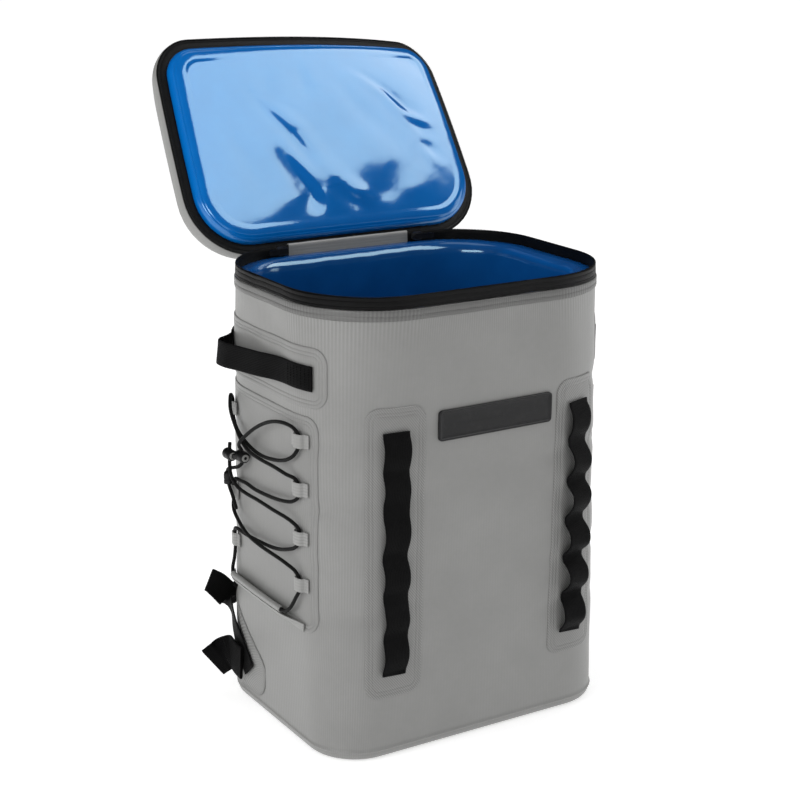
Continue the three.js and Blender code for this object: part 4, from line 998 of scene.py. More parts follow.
ladder_bottom, ladder_top, ladder_patch_margin, ladder_patch_width = 91, 343, 24, 62
ladder_patch_corner, handle_patch_corner, lacing_corner, yoke_corner = 14, 16, 15, 12
for side, centre in (("left", -103.5), ("right", 114)):
    weld_patch(f"ladder_backing_{side}", "front",
               centre - ladder_patch_width / 2, centre + ladder_patch_width / 2,
               ladder_bottom - ladder_patch_margin, ladder_top + ladder_patch_margin,
               ladder_patch_corner, patch_cloth, f"ladder_patch_{side}")
handle_height, handle_patch_half = 392, 30
handle_patch_front, handle_patch_rear = -99, 124
lacing_front, lacing_rear, lacing_low, lacing_high = -89, 108, 130, 353
yoke_half, yoke_low, yoke_high = 88, 402, 446
for side in ("left", "right"):
    weld_patch(f"handle_backing_{side}", side, handle_patch_front, handle_patch_rear,
               handle_height - handle_patch_half, handle_height + handle_patch_half,
               handle_patch_corner, plain_patch_cloth, f"handle_patch_{side}")
    weld_patch(f"lacing_backing_{side}", side, lacing_front, lacing_rear,
               lacing_low, lacing_high, lacing_corner, plain_patch_cloth,
               f"lacing_patch_{side}")
weld_patch("yoke_backing", "back", -yoke_half, yoke_half, yoke_low, yoke_high, yoke_corner,
           patch_cloth, "strap_yoke")

# %% [markdown]
# ## The anchor patches
# Each lower back corner is covered by a patch of cloth that wraps round it and narrows forward to
# a rounded tongue. Its outline isn't a rectangle, so it is built from columns instead: at each
# place round the wall the patch has a low and a high edge.

# %% Anchor patches
anchor_bottom, anchor_height, anchor_reach = 14, 102, 98
strap_level = anchor_bottom + anchor_height / 2
corner_middle = float(base_depth / 2 + (rim_depth - base_depth) / 2 * strap_level / mouth_height)
corner_middle += float(section_at(strap_level)[2]) * (math.pi / 4 - 1)
anchor_shape = np.array([(0, 0.24, 0.36), (0.02, 0.17, 0.41), (0.06, 0.1, 0.455),
                         (0.12, 0.045, 0.5), (0.2, 0.012, 0.545), (0.35, 0, 0.65),
                         (0.6, 0, 0.86), (0.8, 0, 0.96), (1, 0, 1)])


def anchor_patch(side):
    columns = []
    places = np.concatenate([np.linspace(0, 0.2, 12), np.linspace(0.24, 1.76, 40),
                             np.linspace(1.8, 2, 12)])
    for place in places:
        share = place if place <= 1 else 2 - place
        low, high = (np.interp(share, anchor_shape[:, 0], anchor_shape[:, k]) for k in (1, 2))
        s = corner_middle + (place - 1) * anchor_reach
        low, high = (anchor_bottom + value * anchor_height for value in (low, high))
        heights = np.concatenate([[low, low, low + 0.6, low + 1.6],
                                  np.linspace(low + 3.4, high - 3.4, 9),
                                  [high - 1.6, high - 0.6, high, high]])
        lifts = np.array([-0.2, 0.5, 1.0, 1.2, 0.8, 1.15, 1.15, 1.1, 1.1, 1.1, 1.15, 1.15, 0.8,
                          1.2, 1.0, 0.5, -0.2])
        edge = min(share / 0.04, 1)
        top = on_wall(side, s, heights, np.maximum(lifts * edge, -0.2))
        under = on_wall(side, s, mix(high, low, np.array([0.25, 0.5, 0.75])), -0.3)
        columns.append(np.concatenate([top, under]))
    around = np.append(np.linspace(0, anchor_height, 20), 120)
    return skin(f"anchor_backing_{side}", columns, around, places * anchor_reach)


for side in ("left", "right"):
    anchor = anchor_patch(side)
    fit(anchor, patch_cloth, "tarpaulin", f"anchor_patch_{side}")

# %% [markdown]
# ## Smooth lines
# Webbing and cord follow a few chosen points. A centripetal Catmull-Rom curve passes through every
# one of them without loops or overshoot, even where the points are close together, which a plain
# spline doesn't promise.


# %% Smooth lines
def smooth_line(points, cuts):
    """A centripetal Catmull-Rom curve through the points, with cuts pieces to each span."""
    points = np.asarray(points, float)
    first = 2 * points[0] - points[1]
    last = 2 * points[-1] - points[-2]
    padded = np.concatenate([[first], points, [last]])
    shares = np.linspace(0, 1, cuts, endpoint=False)[:, None]
    line = []
    for k in range(1, len(padded) - 2):
        before, start, end, after = padded[k - 1:k + 3]
        steps = [max(np.linalg.norm(b - a), 1e-6) ** 0.5 for a, b in
                 ((before, start), (start, end), (end, after))]
        way_in = ((start - before) / steps[0] - (end - before) / (steps[0] + steps[1])
                  + (end - start) / steps[1]) * steps[1]
        way_out = ((end - start) / steps[1] - (after - start) / (steps[1] + steps[2])
                   + (after - end) / steps[2]) * steps[1]
        cubic = 2 * start - 2 * end + way_in + way_out
        square = -3 * start + 3 * end - 2 * way_in - way_out
        line.append(start + way_in * shares + square * shares**2 + cubic * shares**3)
    line.append(points[-1:])
    return np.concatenate(line)


# %% [markdown]
# ## Webbing
# A strap is a flat strip whose edges are rounded by the weave. Each station along it has a middle
# and the direction of its width. The cross section has more points near its edges, where the
# rounding is, and a slight crown so the strap doesn't shade like a steel ruler.

# %% Straps
strap_section = np.array([(-1, -0.45), (-1, 0.45), (-0.94, 0.85), (-0.8, 1), (-0.3, 0.96),
                          (0.3, 0.96), (0.8, 1), (0.94, 0.85), (1, 0.45), (1, -0.45),
                          (0.94, -0.85), (0.8, -1), (0.3, -0.96), (-0.3, -0.96), (-0.8, -1),
                          (-0.94, -0.85)])


def strap(name, centres, across, width, thickness):
    centres, across = np.asarray(centres, float), np.asarray(across, float)
    along = np.gradient(centres, axis=0)
    along /= np.linalg.norm(along, axis=1, keepdims=True)
    side = across - along * (across * along).sum(1, keepdims=True)
    side /= np.linalg.norm(side, axis=1, keepdims=True)
    face = np.cross(along, side)
    w, t = strap_section.T
    loops = (centres[:, None] + side[:, None] * (w * width / 2)[None, :, None]
             + face[:, None] * (t * thickness / 2)[None, :, None])
    length = np.concatenate([[0], np.cumsum(np.linalg.norm(np.diff(centres, axis=0), axis=1))])
    around = np.append(w, w[0]) * width / 2
    around[-1] = around[0] - thickness / 2
    return skin(name, loops, around, length)


# %% Webbing ladders
ladder_humps, ladder_rise, ladder_width = 6, 11, 27
hump_shape = np.array([(0, 0), (0.06, 0.02), (0.12, 0.14), (0.2, 0.46), (0.3, 0.78), (0.4, 0.96),
                       (0.5, 1.0), (0.6, 0.97), (0.7, 0.82), (0.8, 0.5), (0.88, 0.16), (0.94, 0.02)])
hump_unevenness = {"left": [0.42, 0.28, 0.4, 0.3, 0.24, 0.46],
                   "right": [0.8, 0.92, 0.88, 0.95, 0.75, 0.55]}


def ladder(side, centre):
    pitch = (ladder_top - ladder_bottom) / ladder_humps
    rows = []
    for index, fullness in enumerate(hump_unevenness[side]):
        for along, rise in hump_shape:
            rows.append((ladder_bottom + (index + along) * pitch, rise * ladder_rise * fullness))
    rows.append((ladder_top, 0))
    z, rise = smooth_line(rows, 2).T
    sway = 0.7 * np.sin(z / 19) + 0.5 * np.sin(z / 7.3)
    base = on_patch + webbing_thickness / 2
    centres = on_wall("front", centre + sway, z, base + np.maximum(rise, 0))
    across = wall_tangent("front", centre + sway, z)
    across[:, 1] += 0.05 * np.sin(z / 11)
    return strap(f"ladder_{side}", centres, across, ladder_width, webbing_thickness)


stitch_pitch, thread_width, thread_height = 2.4, 0.75, 0.5


def stitch_rows(name, rows, pitch):
    """Lines of thread: each row is a start, an end and the way out of the cloth."""
    points, ways, sides = [], [], []
    for start, end, out in rows:
        start, end, out = (np.asarray(value, float) for value in (start, end, out))
        length = np.linalg.norm(end - start)
        way = (end - start) / length
        for share in (np.arange(int(length / pitch)) + 0.5) / max(int(length / pitch), 1):
            points.append(mix(start, end, share) - out * 0.15)
            ways.append(way)
            sides.append(np.cross(way, out))
    up_side = -np.array(sides)
    return small_bars(name, points, np.array(ways), up_side,
                      pitch * 0.72, thread_width, thread_height)


def tack_rows(face, s, z, half, level, gaps):
    """Bar tacks across a strap that runs up the wall."""
    rows = []
    for shift in gaps:
        ends = [on_wall(face, s + k * half, z + shift, level) for k in (-1, 1)]
        out = on_wall(face, s, z + shift, level + 1) - on_wall(face, s, z + shift, level)
        rows.append((ends[0], ends[1], out))
    return rows


for side, centre in (("left", -104.5), ("right", 110)):
    made = ladder(side, centre)
    fit(made, webbing_weave, "webbing", f"ladder_webbing_{side}")
    rows = []
    pitch = (ladder_top - ladder_bottom) / ladder_humps
    for index in range(ladder_humps + 1):
        shift = 2 if index == 0 else (-2 if index == ladder_humps else 0)
        rows += tack_rows("front", centre, ladder_bottom + index * pitch + shift,
                          ladder_width / 2 - 2, on_patch + webbing_thickness, (-1.1, 1.1))
    thread = stitch_rows(f"ladder_thread_{side}", rows, stitch_pitch)
    fit(thread, webbing_weave, "webbing")

# %% [markdown]
# ## Side handles
# A short strap is sewn down in front, stands away from the wall towards the back and folds home
# there. Its line is a table in shares of its span, its reach and its droop, smoothed in wall
# coordinates so that the sewn ends lie flat round the corner.

# %% Side handles
handle_width, handle_start, handle_span, handle_reach, handle_droop = 25, -84, 196, 18, 3.5
tack_pitch, front_tacks, rear_tacks = 5.0, (-81, -50), (88, 110)
handle_table = [(0, 0, 0), (0.1, 0, 0), (0.194, 0, 0), (0.276, 0.08, 0.02), (0.429, 0.42, 0.35),
                (0.582, 0.74, 0.7), (0.694, 0.95, 0.95), (0.75, 1, 1), (0.776, 0.85, 0.9),
                (0.791, 0.55, 0.7), (0.816, 0.2, 0.5), (0.857, 0.01, 0.35), (0.93, 0, 0.35),
                (1, 0, 0.35)]
for side in ("left", "right"):
    along, out, down = smooth_line(handle_table, 7).T
    base = on_patch + webbing_thickness / 2
    s = handle_start + along * handle_span
    z = handle_height - down * handle_droop
    centres = on_wall(side, s, z, base + np.clip(out, 0, 1.02) * handle_reach)
    across = np.tile([0.0, 0.0, 1.0], (len(s), 1))
    lean = np.clip(out, 0, 1)[:, None]
    across += lean * (on_wall(side, s, z, 1) - on_wall(side, s, z, 0)) * -0.12
    handle = strap(f"handle_{side}", centres, across, handle_width, webbing_thickness)
    fit(handle, webbing_weave, "webbing", f"side_handle_{side}")
    rows = []
    for place in (*np.arange(*front_tacks, tack_pitch), *np.arange(*rear_tacks, tack_pitch)):
        height = handle_height - (handle_droop * 0.35 if place > 0 else 0)
        level = on_patch + webbing_thickness
        ends = [on_wall(side, place, height + k * (handle_width / 2 - 2), level) for k in (-1, 1)]
        out_way = on_wall(side, place, height, level + 1) - on_wall(side, place, height, level)
        rows.append((ends[0], ends[1], out_way))
    thread = stitch_rows(f"handle_thread_{side}", rows, stitch_pitch)
    fit(thread, webbing_weave, "webbing")

# %% [markdown]
# ## Lace tabs
# The cord runs through short tabs of coated cloth, welded at both ends with a tunnel between. They
# are straps too, only stiffer and lighter, so the same function makes them.

# %% Lace tabs
cord_diameter = 3.8
lace_lift = on_patch + cord_diameter / 2
tab_thickness, tab_height, tab_length = 1.4, 14, 24
tab_low = on_patch + tab_thickness / 2
tab_high = lace_lift + cord_diameter / 2 + seat + tab_thickness / 2
tab_shape = [(-0.5, 0), (-0.4, 0), (-0.3, 0.05), (-0.23, 0.5), (-0.15, 0.95), (0, 1.03),
             (0.15, 0.95), (0.23, 0.5), (0.3, 0.05), (0.4, 0), (0.5, 0)]
lace_tabs = {"front_1": (-67, 328), "front_2": (-67, 279.2), "front_3": (-67, 228.8),
             "front_4": (-67, 180), "rear_1": (78, 325), "rear_2": (78, 234), "rear_3": (78, 181)}
for side in ("left", "right"):
    for name, (s, z) in lace_tabs.items():
        along, rise = smooth_line(tab_shape, 3).T
        lift = mix(tab_low, tab_high, np.clip(rise, 0, 1.03))
        centres = on_wall(side, s + along * tab_length, z, lift)
        across = np.tile([0.0, 0.0, 1.0], (len(along), 1))
        tab = strap(f"lace_tab_{side}_{name}", centres, across, tab_height, tab_thickness)
        fit(tab, tab_cloth, "tarpaulin", f"lace_loop_{side}_{name}")

# %% [markdown]
# ## The low pocket and its hem
# Below the lacing a narrow panel is welded on at its lower edge and stands off the wall at its top,
# where its hem makes a tunnel for the cord. The panel is a thin double skin in wall coordinates,
# and the hem is a tube whose small puckers come from the cord that gathers it.

# %% Pocket
hem_height, hem_off, hem_radius, hem_bore = 142.5, 8, 4, 2.6
hem_front, hem_rear, pocket_front, pocket_rear = -36, 74, -72, 98
pocket_thickness, pocket_depth = 1.4, 7.5
hem_tube_radius, hem_pucker = 3.3, 0.05


def pocket_fullness(s):
    return smooth(s, pocket_front, hem_front) - smooth(s, hem_rear, pocket_rear)


def pocket(side):
    top = hem_height - hem_radius - clearance
    drops = np.array([0, 0.15, 0.35, 0.6, 0.85, 1])
    stands = np.array([1, 0.98, 0.9, 0.62, 0.2, 0])
    loops = []
    for s in np.linspace(pocket_front, pocket_rear, 48):
        base = on_patch + stands * (hem_off - on_patch) * pocket_fullness(s)
        pucker = 0.25 * math.sin(s / 3.1) * pocket_fullness(s) * (1 - drops)
        outer = on_wall(side, s, top - drops * pocket_depth, base + pocket_thickness + pucker)
        inner = on_wall(side, s, top - drops[::-1] * pocket_depth, base[::-1])
        loops.append(np.concatenate([outer, inner]))
    return skin(f"pocket_{side}", loops)


def tube(name, line, radius, bore, sides=14, pucker=0.0):
    """A tube along a line; with a bore it is open at both ends."""
    along = np.gradient(line, axis=0)
    along /= np.linalg.norm(along, axis=1, keepdims=True)
    up = np.tile([0.0, 0.0, 1.0], (len(line), 1))
    side = np.cross(along, up)
    side /= np.linalg.norm(side, axis=1, keepdims=True)
    up = np.cross(side, along)
    angles = np.arange(sides) / sides * 2 * np.pi

    def ring(size):
        spread = size[:, None] * np.cos(angles), size[:, None] * np.sin(angles)
        return (line[:, None] + side[:, None] * spread[0][..., None]
                + up[:, None] * spread[1][..., None])

    steps = np.arange(len(line))
    outer = ring(radius * (1 + pucker * np.sin(steps * 1.9)))
    if not bore:
        return skin(name, outer)
    inner = ring(np.full(len(line), float(bore)))[::-1]
    return skin(name, np.concatenate([outer, inner]), ring=True)


for side in ("left", "right"):
    panel = pocket(side)
    fit(panel, tab_cloth, "tarpaulin", f"side_pocket_{side}")
    s = np.linspace(hem_front, hem_rear, 56)
    hem = tube(f"pocket_hem_tube_{side}", on_wall(side, s, hem_height, hem_off),
               hem_tube_radius, hem_bore, pucker=hem_pucker)
    fit(hem, tab_cloth, "tarpaulin", f"pocket_hem_{side}")

# %% [markdown]
# ## The shock cord
# One elastic cord is laced through all seven tabs and the hem, and both its ends are held in the
# cord locks. It is held by the bag along its whole length, so it is no free cord. Its points are
# the same as in the solid model and the curve through them is the same too. A tube needs a frame
# that doesn't twist where the cord turns: here each ring's side vector is carried on from the ring
# before it.

# %% Shock cord
lace_route = [
    (60, 219.5, 7.5), (66, 233, 9.3), (74, 242.5, 11.7), (74, 257.5, 11.7), (67, 262.5, 11),
    (50, 269.5, 9), (44, 275, 7.8), (44, 281.8, 7.7), (44, 288.5, 8.2), (41, 294, 12),
    (33, 301, 15.4), (18, 314, 13), (-4, 328, 10.5), (-28, 338, 9.5), (-50, 342, 8),
    (-62, 340, 6), (-67, 334, 4.2), (-67, 322, 4.2), (-63, 313, 5.5), (-52, 305, 7.5),
    (-18, 297, 8), (12, 295, 7), (37, 299, 6.5), (58, 307, 6.3), (76, 317, 4.3),
    (78, 333, 4.3), (74, 339, 7), (62, 328, 11), (50, 311, 11.2), (36, 300, 11),
    (22, 294.5, 11), (-3, 292.5, 10.5), (-31, 292, 9), (-51, 290, 7), (-64, 288, 4.6),
    (-67, 282, 4.2), (-67, 271, 4.2), (-61, 265, 6), (-44, 260.5, 8), (15, 254, 7),
    (40, 254, 6), (56, 252, 5.4), (70, 249.5, 4.9), (78, 243, 4.3), (78, 225, 4.3),
    (70, 217, 6.5), (53, 209, 8.5), (31, 202.5, 10.3), (4, 199.5, 10.6), (-47, 196, 8),
    (-62, 190.5, 4.6), (-67, 183, 4.2), (-67, 174, 4.2), (-62, 163, 6), (-54, 151, 7.5),
    (-45, 144, 8.2), (-36, 142.5, 8), (62, 142.5, 8), (74, 142.5, 8), (81, 147, 6.5),
    (82, 157, 4.6), (79, 168, 4.2), (78, 174, 4.3), (77, 188, 4.3), (68, 196, 5.6),
    (40, 197.5, 6), (-20, 203, 6.2), (-46, 210, 7), (-62, 217, 5), (-67, 224, 4.2),
    (-67, 237.5, 4.3), (-59, 243, 6.5), (-24, 245.5, 9), (6, 246.5, 10), (33, 247, 11.5),
    (46, 250, 13.5), (55, 259, 15.3), (59, 269, 14.6), (60, 280.3, 13.6), (60, 289, 13.4),
    (61, 293, 12.5),
]


def cord_tube(name, line, radius, sides=12):
    along = np.gradient(line, axis=0)
    along /= np.linalg.norm(along, axis=1, keepdims=True)
    side = np.cross(along[0], [0.0, 0.0, 1.0])
    sides_on = []
    for way in along:
        side = side - way * (side @ way)
        side = side / np.linalg.norm(side)
        sides_on.append(side)
    side = np.array(sides_on)
    up = np.cross(along, side)
    angles = np.arange(sides) / sides * 2 * np.pi
    sizes = np.full(len(line), float(radius))
    sizes[0] = sizes[-1] = radius * 0.7
    loops = (line[:, None] + side[:, None] * (np.cos(angles) * sizes[:, None])[..., None]
             + up[:, None] * (np.sin(angles) * sizes[:, None])[..., None])
    around = np.linspace(0, 2 * math.pi * radius, sides + 1)
    length = np.concatenate([[0], np.cumsum(np.linalg.norm(np.diff(line, axis=0), axis=1))])
    print(name, "length", (length[-1] * mm).round(3), "m")
    return skin(name, loops, around, length)


for side in ("left", "right"):
    route = np.array(lace_route)
    line = smooth_line(on_wall(side, *route.T), 7)
    cord = cord_tube(f"shock_cord_{side}", line, cord_diameter / 2)
    fit(cord, cord_braid, "shock_cord", f"lace_cord_{side}")

# %% [markdown]
# ## Cord locks
# The upper lock is two spring barrels side by side with a button in the end of each, the lower one
# a small bell on one strand. Turned parts are easiest as a profile spun round an axis. The profile
# steps in at the button, so its groove is real and catches the light.


# %% Turned parts
def turned(name, middle, axis, profile, sides=28):
    """Spins a profile of (along, radius) round an axis through middle."""
    axis = np.asarray(axis, float) / np.linalg.norm(axis)
    helper = np.array([0.0, 0.0, 1.0]) if abs(axis[2]) < 0.9 else np.array([1.0, 0.0, 0.0])
    side = np.cross(axis, helper)
    side /= np.linalg.norm(side)
    up = np.cross(side, axis)
    angles = np.arange(sides) / sides * 2 * np.pi
    spokes = np.cos(angles)[:, None] * side + np.sin(angles)[:, None] * up
    loops = [middle + axis * along + radius * spokes for along, radius in profile]
    return skin(name, loops, sharp=35)


barrel_length, barrel_radius = 16, 5.8
barrel_places = [(44, 281.8, 7.7), (60, 280.3, 13.6)]
barrel_profile = [(-0.5, 0.5), (-0.5, 0.78), (-0.47, 0.86), (-0.4, 0.97), (-0.34, 1), (-0.12, 1),
                  (-0.1, 0.95), (0.1, 0.95), (0.12, 1), (0.34, 1), (0.4, 0.97), (0.47, 0.86),
                  (0.5, 0.78), (0.5, 0.5)]
button_profile = [(0.40, 0.3), (0.53, 0.3), (0.545, 0.56), (0.54, 0.64), (0.5, 0.68), (0.40, 0.68)]
for side in ("left", "right"):
    middles = [on_wall(side, *place) for place in barrel_places]
    axis = wall_tangent(side, 52, 281)
    parts = []
    for index, middle in enumerate(middles):
        profile = [(a * barrel_length, r * barrel_radius) for a, r in barrel_profile]
        parts.append(turned(f"barrel_{side}_{index}", middle, axis, profile))
    reach = middles[1] - middles[0]
    web_line = np.linspace(middles[0], middles[1], 5)
    web_across = np.tile(axis, (5, 1))
    parts.append(strap(f"web_{side}", web_line, web_across, barrel_radius * 1.5, barrel_radius))
    lock = join_pieces(f"twin_cord_lock_{side}", parts)
    fit(lock, lock_plastic, "buckle", f"cord_lock_{side}_upper")
    ends = []
    for index, middle in enumerate(middles):
        for way in (-1, 1):
            profile = [(a * barrel_length, r * barrel_radius) for a, r in button_profile]
            ends.append(turned(f"button_{side}_{index}_{way}", middle, axis * way, profile))
    buttons = join_pieces(f"lock_buttons_{side}", ends)
    fit(buttons, button_plastic, "buckle")

# %% Bell locks
bell_profile = [(-6.5, 2.4), (-6.5, 3.9), (-6.1, 4.4), (-5, 4.5), (-2.6, 4.5), (-2.2, 4.1),
                (-1.4, 4.1), (-1, 4.5), (3.2, 4.5), (4.6, 4.3), (5.8, 3.8), (6.5, 3.2), (6.5, 2.2)]
bell_place = (74, 250, 11.7)
for side in ("left", "right"):
    bell = turned(f"bell_{side}", on_wall(side, *bell_place), (0, 0, 1), bell_profile)
    fit(bell, lock_plastic, "buckle", f"cord_lock_{side}_lower")

# %% [markdown]
# ## Lower straps and belt tabs
# The lower end of each shoulder strap is sewn to the corner patch. It climbs the corner, folds
# over beside the body and goes back behind it up to the ladder lock. The belt tab is a doubled end
# of wider webbing bent outward over it.

# %% Lower straps
strap_span, strap_off, tab_reach = 100, 29, 23
strap_width, belt_tab_width = 25, 38
strap_on_wall = [(-0.657, 0.4, 0.003, -0.67, 0.74), (-0.557, 0.51, 0.003, -0.67, 0.74),
                 (-0.457, 0.62, 0.014, -0.67, 0.74), (-0.357, 0.73, 0.031, -0.62, 0.78),
                 (-0.257, 0.84, 0.055, -0.5, 0.86), (-0.157, 0.92, 0.103, -0.3, 0.95),
                 (-0.087, 0.98, 0.228, -0.05, 1)]
strap_free = [(-0.107, 1.06, 0.397, 0.3, 0.05, 0.95), (-0.127, 1.15, 0.638, 0.36, 0.12, 0.92),
              (-0.127, 1.21, 0.879, 0.48, 0.15, 0.86), (-0.107, 1.21, 1, 0.48, 0.1, 0.87),
              (-0.067, 1.18, 0.983, 0.45, 0.1, 0.88), (0.023, 1.09, 0.793, 0.3, 0.1, 0.94),
              (0.153, 0.92, 0.569, 0.1, 0, 1), (0.323, 1.04, 0.552, -0.45, -0.1, 0.88),
              (0.463, 1.28, 0.707, -0.75, 0, 0.65), (0.563, 1.54, 0.845, -0.9, 0, 0.4),
              (0.643, 1.77, 0.897, -0.94, 0, 0.33)]
belt_tab_table = [(-0.557, 0.45, 0.13, 0, 0, 1), (-0.457, 0.46, 0.148, 0, 0, 1),
                  (-0.377, 0.47, 0.148, 0, 0, 1), (-0.297, 0.465, 0.157, 0, 0, 1),
                  (-0.257, 0.445, 0.252, -0.03, 0, 1), (-0.217, 0.41, 0.435, -0.08, 0, 1),
                  (-0.207, 0.365, 0.687, -0.15, 0, 0.99), (-0.202, 0.31, 1, -0.23, 0, 0.97)]
for side in ("left", "right"):
    hand = np.array([1, 1, 1]) if side == "left" else np.array([-1, 1, 1])
    rows = []
    for s, z, off, tangent, up in strap_on_wall:
        way = wall_tangent(side, corner_middle + s * strap_span, z * strap_span) * tangent
        rows.append((s, z, off, *(way[:2]), up))
    for s, z, off, x, y, up in strap_free:
        rows.append((s, z, off, *(np.array([x, y, up]) * hand)))
    path = smooth_line(np.array(rows), 6)
    base = on_patch + clearance + webbing_thickness / 2
    centres = on_wall(side, corner_middle + path[:, 0] * strap_span, path[:, 1] * strap_span,
                      base + path[:, 2] * strap_off)
    made = strap(f"lower_strap_{side}", centres, path[:, 3:], strap_width, webbing_thickness)
    fit(made, webbing_weave, "webbing", f"strap_webbing_{side}")
    rows = [(s, z, off, *(np.array([x, y, up]) * hand)) for s, z, off, x, y, up in belt_tab_table]
    path = smooth_line(np.array(rows), 6)
    base = on_patch + clearance + webbing_thickness
    centres = on_wall(side, corner_middle + path[:, 0] * strap_span, path[:, 1] * strap_span,
                      base + path[:, 2] * tab_reach)
    made = strap(f"belt_end_{side}", centres, path[:, 3:], belt_tab_width, 2 * webbing_thickness)
    fit(made, webbing_weave, "webbing", f"belt_tab_{side}")

# %% [markdown]
# ## Shoulder pads
# The pads are foam under black knit. A pad starts as a flattened tube along its middle line, is
# remeshed into even cells and then inflated a little with cloth simulation, which rounds it and
# gives it the small tucks of a sewn pad. Blown freely, it would also draw in its sides and leave
# its binding, so the seams hold still and only the middle moves. The binding along both sides is
# sewn on last, as on the real one.


# %% Stuffing
def stuffed(piece, cell, pressure, most, freedom):
    """Remeshes a closed piece and inflates it, moving no point further than most millimetres.

    freedom gives the share of the move that each point may make: 0 where a seam holds it.
    """
    for other in bpy.context.selected_objects:
        other.select_set(False)
    bpy.context.view_layer.objects.active = piece
    piece.select_set(True)
    remesh = piece.modifiers.new("cells", "REMESH")
    remesh.mode = "VOXEL"
    remesh.voxel_size = cell * mm
    bpy.ops.object.modifier_apply(modifier=remesh.name)
    start = np.empty(len(piece.data.vertices) * 3)
    piece.data.vertices.foreach_get("co", start)
    cloth = piece.modifiers.new("stuffing", "CLOTH")
    cloth.settings.quality = 5
    cloth.settings.use_pressure = True
    cloth.settings.uniform_pressure_force = pressure
    cloth.settings.effector_weights.gravity = 0
    cloth.settings.tension_stiffness = 20
    cloth.settings.bending_stiffness = 2
    scene = bpy.context.scene
    for moment in range(1, 21):
        scene.frame_set(moment)
    graph = bpy.context.evaluated_depsgraph_get()
    blown = piece.evaluated_get(graph).data
    end = np.empty(len(blown.vertices) * 3)
    blown.vertices.foreach_get("co", end)
    piece.modifiers.remove(cloth)
    scene.frame_set(1)
    start, end = start.reshape(-1, 3), end.reshape(-1, 3)
    move = end - start
    size = np.linalg.norm(move, axis=1, keepdims=True)
    move *= np.minimum(1, most * mm / np.maximum(size, 1e-9))
    move *= freedom(start / mm)[:, None]
    piece.data.vertices.foreach_set("co", (start + move).ravel())
    piece.data.update()
    print(piece.name, "stuffed, largest move", (size.max() / mm).round(1), "mm")


def smoothed(piece, levels):
    """Applies a subdivision surface, so that the stored mesh is the smooth one."""
    bpy.context.view_layer.objects.active = piece
    piece.modifiers.new("fine", "SUBSURF").levels = levels
    bpy.ops.object.modifier_apply(modifier="fine")
    piece.data.shade_smooth()


def rewoven(piece, across_way, along_way):
    """Draws a new weave map after a remesh, flat along two directions."""
    mesh = piece.data
    while mesh.uv_layers:
        mesh.uv_layers.remove(mesh.uv_layers[0])
    layer = mesh.uv_layers.new(name=weave_map)
    points = np.empty(len(mesh.vertices) * 3)
    mesh.vertices.foreach_get("co", points)
    points = points.reshape(-1, 3) / mm
    corners = np.empty(len(mesh.loops), int)
    mesh.loops.foreach_get("vertex_index", corners)
    ways = np.array([across_way, along_way], float)
    flat = points @ ways.T
    layer.data.foreach_set("uv", flat[corners].astype(np.float32).ravel())


# %% Shoulder pads
pad_width, pad_thickness, pad_length, pad_rise, pad_off, pad_spread = 58, 12, 234, 16, 26, 80
stuffing_cell, stuffing_pressure, stuffing_reach = 4.0, 4.0, 1.6
binding_width, binding_thickness = 9, 2.4
yoke_height = 424
pad_top = yoke_height + pad_rise
pad_table = [(0.675, 0, 0.108, 0.4), (0.681, 0.094, 0.162, 0.6), (0.7, 0.188, 0.423, 1),
             (0.75, 0.342, 0.692, 1), (0.812, 0.556, 0.923, 1), (0.887, 0.769, 1, 1),
             (0.963, 0.932, 1, 0.9), (1, 1, 1, 0.5)]


def pad_path(side):
    across, down, off, thick = smooth_line(pad_table, 6).T
    hand = -1 if side == "left" else 1
    centres = on_wall("back", hand * across * pad_spread, pad_top - down * pad_length,
                      on_patch + off * pad_off)
    return centres, thick


def pad_body(side):
    centres, thick = pad_path(side)
    along = np.gradient(centres, axis=0)
    along /= np.linalg.norm(along, axis=1, keepdims=True)
    across = np.array([1.0, 0.0, 0.0]) - along * along[:, :1]
    across /= np.linalg.norm(across, axis=1, keepdims=True)
    normal = np.cross(along, across)
    angles = np.arange(28) / 28 * 2 * np.pi
    sideways = np.sign(np.cos(angles)) * np.abs(np.cos(angles)) ** 0.55
    outward = np.sign(np.sin(angles)) * np.abs(np.sin(angles)) ** 0.8
    half_width, half_thickness = pad_width / 2 - 0.6, 0.9 * pad_thickness / 2
    loops = []
    for k, centre in enumerate(centres):
        w, t = sideways * half_width, outward * thick[k] * half_thickness
        loops.append(centre + across[k] * w[:, None] + normal[k] * t[:, None])
    return skin(f"shoulder_cushion_{side}", loops), centres, across, normal


def between_seams(points, centres, across):
    """1 in the middle of a pad and 0 along its sides and ends, where the binding holds it."""
    gaps = points[:, None] - centres[None]
    nearest = np.argmin((gaps ** 2).sum(axis=2), axis=1)
    sideways = (gaps[np.arange(len(points)), nearest] * across[nearest]).sum(axis=1)
    share = nearest / (len(centres) - 1)
    ends = smooth(share, 0, 0.25) * (1 - smooth(share, 0.9, 1))
    return (1 - smooth(np.abs(sideways) / (pad_width / 2), 0.65, 0.92)) * ends


for side in ("left", "right"):
    cushion, centres, across, normal = pad_body(side)
    stuffed(cushion, stuffing_cell, stuffing_pressure, stuffing_reach,
            lambda points: between_seams(points, centres, across))
    smoothed(cushion, 1)
    rewoven(cushion, (1, 0, 0), (0, 0.35, 0.94))
    fit(cushion, pad_knit, "pad", f"shoulder_pad_{side}")
    edges = []
    for way in (-1, 1):
        line = centres + across * (way * (pad_width / 2 - 1.2))
        edges.append(strap(f"binding_{side}_{way}", line[1:-1], normal[1:-1],
                           binding_width, binding_thickness))
    binding = join_pieces(f"pad_binding_{side}", edges)
    fit(binding, webbing_weave, "webbing")

